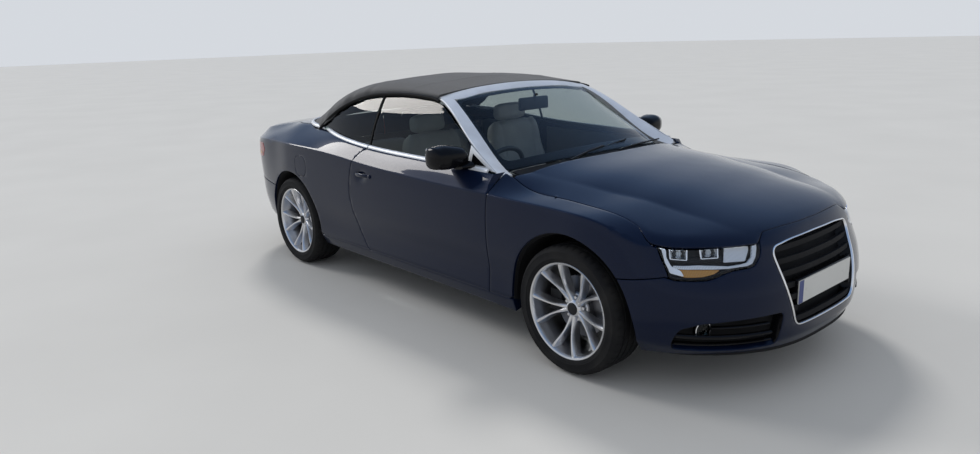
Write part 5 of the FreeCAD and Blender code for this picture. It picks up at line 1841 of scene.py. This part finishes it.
def make_headlamps():
    """Lens, housing, light strips and two round lamps a side."""
    loop = lamp_loop()
    made = [grid_panel("lamp_lens_left", loop, [], skin_at(-1.0), from_lamps, "lamp_clear", step=16.0,
                       depth=10.0, gap=3.5, bend=2.0, replaces=["headlamps"])]
    made.append(grid_panel("lamp_back_left", loop, [], skin_at(-64), from_lamps, "dark_plastic", step=22.0,
                           depth=2.0, gap=10.0, bend=0.5))
    made.append(piece("lamp_wall_left", *hoop(loop, [(7, -13), (10, -64), (12, -64), (11, -13)]),
                      "gloss_black", outwards=True))
    made += [patch(*row) for row in lamp_patches]
    frames, domes, bright = [], [], []
    for a, b, low, high in lamp_boxes:
        box = thinned(rounded(by_front([(a, low), (b, low), (b + 0.3, high), (a, high)]), 9, pieces=4), 2)
        if area(box) < 0:
            box = box[::-1]
        frames.append(hoop(box, [(0, -50), (0, -15), (1.5, -13), (6.5, -13), (9, -17), (15, -42), (15, -50)]))
        middle = Vector(skin_point(at_front((a + b) / 2), (low + 5.0) / 2, -40))
        ahead = (Vector(skin_point(at_front((a + b) / 2), (low + 5.0) / 2, 0)) - middle).normalized()
        turn = Vector((0, 1, 0)).rotation_difference(ahead).to_matrix()
        dome = lathe([(25 * math.sin(t), 18 * math.cos(t)) for t in (0.01, 0.3, 0.6, 0.9, 1.2, 1.5)]
                     + [(25, -2), (0.1, -2)], 28)
        domes.append(moved(dome, middle, turn))
        bright.append(moved(lathe([(0.1, 0), (11, 0), (13, -3), (0.1, -3)], 20), middle + ahead * -5, turn))
        bright.append(moved(lathe([(27, 1), (30, 0), (30, -3), (27, -3)], 32), middle, turn))
    made.append(piece("lamp_frames_left", *merged(frames), "chrome", smooth=40.0, outwards=True))
    made.append(piece("lamp_domes_left", *merged(domes), "lamp_clear", smooth=60.0, outwards=True))
    made.append(piece("lamp_cores_left", *merged(bright), "lamp_white", smooth=40.0, outwards=True))
    for one in made:
        both_sides(one)


def make_vents():
    """The vents beside the grille with their fog lamps, and the lip below."""
    loop = thinned(rounded(by_front(vent_line), 26, pieces=4), 5)
    made = [piece("vent_wall_left", *hoop(loop, [(-3, -4), (0, -3), (3, -8), (10, -62), (6, -62), (-3, -12)]),
                  "gloss_black")]
    made.append(grid_panel("vent_back_left", loop, [], skin_at(-60), from_lamps, "black_structure", step=24.0,
                           depth=2.0, gap=4.0, bend=0.5))
    blades = []
    for low, level, high, proud, size in ((28.2, 1.5, 55.2, -9, 17), (27.4, 1.08, 55.6, -22, 11),
                                          (29.0, 1.92, 46.0, -22, 11)):
        path = [skin_point(at_front(mix(low, high, k / 24)), level, proud) for k in range(25)]
        blades.append(sweep(path, slab_profile(26, size, 0.6)))
    made.append(piece("vent_blades_left", *merged(blades), "gloss_black", smooth=40.0))
    middle = Vector(skin_point(at_front(48.0), 1.72, -42))
    aim = Vector((0.94, 0.34, 0.0)).normalized()
    turn = Vector((0, 1, 0)).rotation_difference(aim).to_matrix()
    fog = lathe([(0.1, 10), (18, 8), (32, 3), (36, 0), (36, -12), (0.1, -12)], 40)
    made.append(piece("fog_lens_left", *moved(fog, middle, turn), "side_tint", smooth=50.0))
    ring = lathe([(37, 7), (40, 6), (41, 0), (41, -14), (37, -14)], 48)
    made.append(piece("fog_ring_left", *moved(ring, middle, turn), "chrome"))
    for one in made:
        straighten(one)
        both_sides(one)
    lip = [skin_point(at_front(62 - 124 * k / 40), 0.14, -4 - 26 * abs(k / 20 - 1) ** 6) for k in range(41)]
    piece("front_lip", *sweep(lip, slab_profile(16, 22, 0.5), up=(0, 0, 1)), "black_structure", smooth=40.0)


# Tail lamps: lenses on the quarters and the lid

def rear_lens(name, corners, radius, body, replaces):
    """A red lamp lens on the tail, from (degrees, level)."""
    loop = filled(rounded(by_rear(corners), radius, pieces=4), 16)
    both_sides(grid_panel(name, loop, [], skin_at(2.0), from_tail, "lamp_red", body, 14.0, 6.0, 0.0, 2.0,
                          replaces))


def rear_band(name, corners, material, body):
    """A band of another colour over a lens."""
    both_sides(grid_panel(name, by_rear(corners), [], skin_at(3.2), from_tail, material, body, 12.0, 1.5, 0.0,
                          0.8))


def make_tail_lamps():
    rear_lens("tail_lamp_left", [(61.0, 4.72), (48, 4.76), (36.2, 4.76), (36.2, 3.78), (48, 3.78),
                                 (60.0, 3.86), (62.6, 4.3)], 14, ROOT, ["tail_lamps"])
    rear_band("tail_flasher_left", [(58.5, 4.1), (48, 4.06), (38, 4.06), (38, 3.9), (48, 3.9), (58, 3.94)],
              "lamp_amber", ROOT)
    rear_lens("lid_lamp_left", [(34.6, 4.76), (20.5, 4.76), (18.5, 4.3), (20, 3.8), (34.6, 3.78)], 10,
              "boot_lid_body", ["lid_lamps"])
    rear_band("lid_reverse_left", [(33, 4.06), (22, 4.06), (21.5, 3.9), (33, 3.9)], "lamp_white",
              "boot_lid_body")


# Mirrors and door handles. The mirror's shell, as (y, then its lowest and its highest x and z)
mirror_rows = [
    (806, (600, 964), (640, 1000)),
    (822, (562, 946), (652, 1030)),
    (852, (520, 936), (660, 1050)),
    (900, (494, 930), (658, 1059)),
    (945, (488, 929), (648, 1060)),
    (980, (490, 933), (628, 1054)),
    (1000, (502, 944), (602, 1036)),
    (1008, (528, 962), (568, 1008)),
]


def make_mirrors():
    ys = [row[0] for row in mirror_rows]
    curves = tracks(ys, mirror_rows, (1, 2))
    rows = []
    for i in range(25):
        y = mix(ys[0], ys[-1], smooth_step(i / 24) * 0.4 + i / 24 * 0.6)
        x0, z0, x1, z1 = [curve(y) for curve in curves]
        rows.append([(mix(x0, x1, 0.5 + 0.5 * signed_power(c, 0.62 if c < 0 else 0.92)), y,
                      mix(z0, z1, 0.5 + 0.5 * signed_power(d, 0.72))) for c, d in circle(28)])
    head = loft(rows)
    foot = loft([[(x_mid + wide * c, y, z_mid + tall * d) for c, d in circle(20)]
                 for x_mid, y, z_mid, wide, tall in ((612, 872, 940, 52, 14), (628, 850, 944, 46, 17),
                                                     (648, 832, 947, 42, 20), (662, 818, 948, 42, 24))])
    both_sides(piece("mirror_shell_left", *merged([head, foot]), "gloss_black", "door_left_body", smooth=60.0,
                     replaces=["mirror_left"], outwards=True))
    glass_part = soft_box((486.0, 868, 948), (490.5, 984, 1040), 1.6)
    both_sides(piece("mirror_glass_left", *glass_part, "chrome", "door_left_body"))
    # Corner piece of the window that carries the mirror, and a dark panel on it
    for name, corner, proud, material, depth, gap, bend in (
            ("mirror_corner_left", [(842, 926), (616, 932), (616, 1046)], 4.0, "bright_trim", 5.0, 0.0, 1.0),
            ("mirror_corner_inner_left", [(772, 946), (644, 948), (644, 1008)], 5.6, "gloss_black", 1.5, 2.0,
             0.8)):
        both_sides(grid_panel(name, filled(corner, 20), [], on_glass(proud), left_wall, material,
                              "door_left_body", 20.0, depth, gap, bend))


def make_handles():
    """Pull handles of the doors, each with the cap behind its rear end."""
    rows = []
    for k in range(21):
        t = k / 20
        x = mix(-404, -230, t)
        rise = math.sin(math.pi * t) ** 0.45 if 0 < t < 1 else 0.0
        y_out, tall = mix(899, 926, rise), mix(8.5, 13.0, rise)
        half = mix(4, 7.5, rise)
        z = 790.5 + 4 * (t - 0.5)
        rows.append([(x, y_out - half + half * c, z + tall * signed_power(d, 0.8)) for c, d in circle(12)])
    both_sides(piece("door_handle_left", *loft(rows), "body_paint", "door_left_body", smooth=60.0,
                     outwards=True))
    cap = soft_box((-236, 884, 779), (-212, 921, 802), 7)
    both_sides(piece("handle_cap_left", *cap, "body_paint", "door_left_body", smooth=60.0))


# Cabin: outlines in the side view, as (x, z)
seat_y = 372.0
rear_seat_y = 286
cushion_line = [(-190, 345), (-196, 440), (-150, 462), (-60, 458), (120, 466), (250, 486), (318, 486),
                (345, 452), (336, 380), (300, 330), (60, 318), (-120, 325)]
back_line = [(-150, 420), (-96, 462), (-108, 560), (-140, 700), (-196, 880), (-232, 985), (-262, 1003),
             (-306, 998), (-312, 960), (-290, 800), (-268, 600), (-246, 450), (-200, 415)]
rest_line = [(-262, 1022), (-252, 1036), (-257, 1090), (-268, 1120), (-300, 1128), (-331, 1116), (-341, 1070),
             (-333, 1026), (-300, 1014)]


def padded_form(line, middle, width, crown, channels=(), bolster=0.0, front=None):
    """A stuffed form: a closed side outline carried across the seat. It is crowned and drawn in at its ends.
    Its front has bolsters at the sides, with seams and sewn channels between them."""
    ring = through(line + line[:1], 72)[:-1]
    cx, cz = sum(p[0] for p in ring) / len(ring), sum(p[1] for p in ring) / len(ring)
    rows = []
    count = 30
    for i in range(count + 1):
        t = -1 + 2 * i / count
        end = abs(t) ** 7
        fall = (1 - end * 0.24) if abs(t) < 1 else 0.62
        if abs(t) > 0.985:
            fall *= 0.86
        y = middle + t * width / 2
        row = []
        for x, z in ring:
            dx, dz = x - cx, z - cz
            size = math.hypot(dx, dz)
            lift = crown * (1 - t * t) * 0.3
            if front and front(x, z):
                lift += bolster * bump_at(abs(t), 0.80, 0.13)
                lift -= 7.0 * bump_at(abs(t), 0.60, 0.018)
                for away in channels:
                    if abs(t) < 0.6:
                        lift -= 6.0 * bump_at(away(x, z), 0.0, 7.0)
            row.append((cx + dx * fall + dx / size * lift, y, cz + dz * fall + dz / size * lift))
        rows.append(row)
    return loft(rows)


def cushion(name, part, replaces=()):
    """A stuffed form, rounded off by one subdivision."""
    made = piece(name, *part, "seat_leather", smooth=80.0, replaces=replaces, outwards=True)
    mod = made.modifiers.new("smooth", "SUBSURF")
    mod.levels = mod.render_levels = 1


def sewn(axis, places):
    """Channels across a cushion, each as the distance of (x, z) from a place on an axis, X 0 or Z 1."""
    return [lambda x, z, at=at: (x, z)[axis] - at for at in places]


def make_seats():
    """Two front seats on their bases and the bench behind them."""
    across, up = sewn(0, (-80, 0, 80, 160, 240)), sewn(1, (560, 640, 720, 800, 880))
    for side, y, nodes in (("left", seat_y, ["front_seats"]), ("right", -seat_y, ())):
        cushion("seat_cushion_" + side, padded_form(cushion_line, y, 500, 20, across, 26,
                                                    lambda x, z: z > 440), nodes)
        cushion("seat_back_" + side, padded_form(back_line, y, 470, 24, up, 34,
                                                 lambda x, z: x > -262 + (1000 - z) * 0.19 and z > 470))
        cushion("head_rest_" + side, padded_form(rest_line, y, 262, 14))
        rods = [sweep([(-297, y + d, 985), (-299, y + d, 1040)], ring_profile(7)) for d in (-60, 60)]
        piece("rest_rods_" + side, *merged(rods), "chrome")
        base = merged([soft_box((-160, y - 190, 232), (290, y + 190, 330), 12),
                       soft_box((-120, y - 232, 300), (250, y + 232, 352), 14)])
        piece("seat_base_" + side, *base, "dark_plastic")
    rear_across, rear_up = sewn(0, (-860, -760, -660)), sewn(1, (560, 650, 740))
    bench = [(-985, 390), (-990, 452), (-930, 470), (-700, 478), (-560, 492), (-510, 470), (-505, 400),
             (-560, 360), (-800, 352)]
    bench_back = [(-905, 462), (-890, 520), (-930, 700), (-965, 850), (-990, 885), (-1022, 880), (-1020, 700),
                  (-1005, 480), (-960, 455)]
    for side, y, nodes in (("left", rear_seat_y, ["rear_seat"]), ("right", -rear_seat_y, ())):
        cushion("rear_cushion_" + side, padded_form(bench, y, 545, 22, rear_across, 8, lambda x, z: z > 450),
                nodes)
        cushion("rear_back_" + side, padded_form(bench_back, y, 545, 20, rear_up, 10, lambda x, z: x > -985))


# The dashboard, round the steering wheel's place on the right
wheel_side = 370
dash_line = [(612, 612), (596, 640), (592, 700), (600, 742), (618, 762), (606, 790), (622, 838), (672, 868),
             (760, 884), (880, 882), (900, 860), (900, 640), (880, 612)]


def make_dashboard():
    """Dashboard with its details, steering column, centre console and the pad of the steering wheel."""
    rows = []
    for i in range(61):
        y = -646 + 1292 * i / 60
        hood = bump_at(y, -wheel_side, 150, 4)
        end = 1 - 0.03 * smooth_step((abs(y) - 600) / 46)
        ring = []
        for x, z in through(dash_line + dash_line[:1], 60)[:-1]:
            top = smooth_step((z - 800) / 60) * smooth_step((760 - x) / 120)
            bend = 26 * (y / 646) ** 2
            ring.append((750 + (x - 750) * end + bend * smooth_step((700 - x) / 100), y,
                         750 + (z - 750) * end + 20 * hood * top))
        rows.append(ring)
    piece("dash_shell", *loft(rows), "trim_leather", smooth=60.0, replaces=["dashboard"], outwards=True)
    details = [soft_box((588, -640, 742), (604, 640, 753), 3), soft_box((590, -95, 640), (606, 95, 735), 6)]
    piece("dash_trim", *merged(details), "bright_trim")
    screens = [soft_box((600, -92, 768), (618, 92, 846), 5), soft_box((610, -490, 778), (640, -250, 872), 8)]
    piece("dash_screens", *merged(screens), "gloss_black")
    vents = []
    for y in (-590, -170, 170, 590):
        ring = lathe([(26, 0), (36, 0), (38, -4), (38, -16), (24, -16)], 32)
        vents.append(moved(ring, (597, y, 792), Matrix.Rotation(math.radians(90), 3, "Z")))
    piece("dash_vents", *merged(vents), "bright_trim", outwards=True)
    column = sweep([(432, -wheel_side, 787), (640, -wheel_side, 692)], ring_profile(34, 20))
    piece("column_cover", *column, "dark_plastic", smooth=50.0)
    stalks = [sweep([(470, -wheel_side + d * 30, 775), (462, -wheel_side + d * 165, 790)],
                    slab_profile(12, 9, 0.6)) for d in (-1, 1)]
    piece("stalks", *merged(stalks), "dark_plastic")
    parts = [soft_box((-380, -98, 330), (590, 98, 505), 24), soft_box((-340, -84, 490), (-60, 84, 560), 22),
             soft_box((330, -92, 480), (600, 92, 640), 26)]
    piece("console_body", *merged(parts), "trim_leather", smooth=50.0, replaces=["centre_console"])
    lever = [sweep([(215, 0, 500), (205, 0, 575)], ring_profile(9)),
             soft_box((178, -28, 560), (232, 28, 612), 16)]
    piece("gear_lever", *merged(lever), "wheel_leather", smooth=60.0)
    knob = lathe([(0.1, 14), (24, 14), (27, 10), (27, 0), (0.1, 0)], 32)
    piece("console_knob", *moved(knob, (110, 0, 503), Matrix.Rotation(math.radians(90), 3, "X")),
          "bright_trim")
    tilt = Matrix.Rotation(math.radians(-25), 3, "Y")
    pad = lathe([(0.1, 20), (40, 19), (58, 14), (66, 4), (66, -14), (0.1, -16)], 40)
    pad = moved(pad, (0, 0, 0), Matrix.Rotation(math.radians(90), 3, "Z"))
    pad = moved(pad, (402, -wheel_side, 801), tilt)
    piece("wheel_pad", *pad, "wheel_leather", "steering_wheel_body", smooth=60.0, outwards=True)


# Camera, floor and light

camera_place = (3.76575, -3.40637, 1.63317)
camera_yaw = 138.77
camera_pitch = -14.42
camera_roll = -1.82
camera_lens = 27.36

# The sky: its colours at the horizon and above, between two heights, and its strength as a light and as seen
pale_sky, high_sky = (0.90, 0.94, 1.0), (0.28, 0.44, 0.74)
sky_heights = (0.10, 0.52)
sky_light, sky_seen = 0.55, 0.74
sun_color = (1.0, 0.965, 0.92)
# Suns: name, way towards it, strength, width in degrees, whether it shows in gloss
suns = (("key", (-4.4, 2.8, 5.2), 1.30, 12, False), ("back", (-0.83, -0.29, 0.49), 0.80, 17, True))


def make_camera():
    """The photo's camera, fitted to the wheels, the plate and the outline."""
    data = bpy.data.cameras.new("camera")
    made = placed("camera", data)
    yaw, pitch, roll = (math.radians(a) for a in (camera_yaw, camera_pitch, camera_roll))
    look = Vector((math.cos(pitch) * math.cos(yaw), math.cos(pitch) * math.sin(yaw), math.sin(pitch)))
    right = look.cross(Vector((0, 0, 1))).normalized()
    up = right.cross(look)
    right, up = (right * math.cos(roll) + up * math.sin(roll), up * math.cos(roll) - right * math.sin(roll))
    turn = Matrix((right, up, -look)).transposed().to_4x4()
    made.matrix_world = Matrix.Translation(camera_place) @ turn
    data.sensor_width = 36.0
    data.lens = camera_lens
    data.clip_start = 0.05
    data.clip_end = 200.0
    bpy.context.scene.camera = made


def make_stage():
    """A pale floor, the sky and two suns."""
    t, b = shader("floor", (0.66, 0.66, 0.65), 0.8, Specular_IOR_Level=0.2)
    where = place(t)
    feed(t, b, "Base Color", ramp(t, noise(t, where, 0.7, 4.0), (0.645, 0.645, 0.635), (0.67, 0.67, 0.66)))
    bump(t, b, noise(t, where, 90.0, 3.0), 0.04, 0.001)
    data = bpy.data.meshes.new("floor")
    reach = 90
    data.from_pydata([(-reach, -reach, 0), (reach, -reach, 0), (reach, reach, 0), (-reach, reach, 0)], [],
                     [(0, 1, 2, 3)])
    floor = placed("floor", data)
    data.materials.append(materials["floor"])

    world = bpy.data.worlds.new("sky")
    bpy.context.scene.world = world
    world.use_nodes = True
    tree = world.node_tree
    back = tree.nodes["Background"]
    where = node(tree, "ShaderNodeTexCoord")
    height = node(tree, "ShaderNodeSeparateXYZ", [("Vector", where.outputs["Generated"])])
    above = ramp(tree, height.outputs[2], pale_sky, high_sky, sky_heights)
    way = node(tree, "ShaderNodeLightPath")
    seen = node(tree, "ShaderNodeMath", [(0, way.outputs["Is Camera Ray"]),
                                         (1, way.outputs["Is Glossy Ray"])], operation="MAXIMUM")
    seen = node(tree, "ShaderNodeMath", [(0, seen.outputs[0]), (1, way.outputs["Is Transmission Ray"])],
                operation="MAXIMUM")
    both = node(tree, "ShaderNodeMixRGB", [("Fac", seen.outputs[0]), ("Color2", above)],
                Color1=(*pale_sky, 1))
    tree.links.new(both.outputs[0], back.inputs["Color"])
    strength = node(tree, "ShaderNodeMapRange", [("Value", seen.outputs[0])], To_Min=sky_light,
                    To_Max=sky_seen)
    tree.links.new(strength.outputs[0], back.inputs["Strength"])

    for name, towards, energy, angle, glossy in suns:
        lamp = bpy.data.lights.new(name, "SUN")
        lamp.energy, lamp.angle = energy, math.radians(angle)
        lamp.color = sun_color
        made = placed(name, lamp)
        made.visible_glossy = glossy
        made.rotation_euler = (-Vector(towards)).to_track_quat("-Z", "Y").to_euler()
    bpy.context.scene.view_settings.view_transform = "Standard"


# Nodes of the solids that are shown with another material than their slot's
node_material = {
    "floor_pan": "black_structure", "cowl": "black_structure", "steering_wheel": "wheel_leather",
}


def dress_nodes():
    """Every node that is still shown takes its slot's material."""
    slot_of = {part["node"]: part["material_slot"] for part in frame["record"]["subparts"]}
    for name, made in frame["nodes"].items():
        made.data.materials.clear()
        made.data.materials.append(materials[node_material.get(name, slot_of[name])])


make_materials()
dress_nodes()
make_camera()
make_stage()
make_side_panels()
make_hood()
make_bumpers()
make_tail_apron()
make_sills()
make_lid()
make_tonneau()
make_soft_top()
make_windscreen()
make_frame()
make_side_glass()
make_belt()
make_door_insides()
make_side_insides()
make_arch_liners()
make_wheels()
make_seats()
make_dashboard()
make_grille()
make_headlamps()
make_vents()
make_tail_lamps()
make_mirrors()
make_handles()
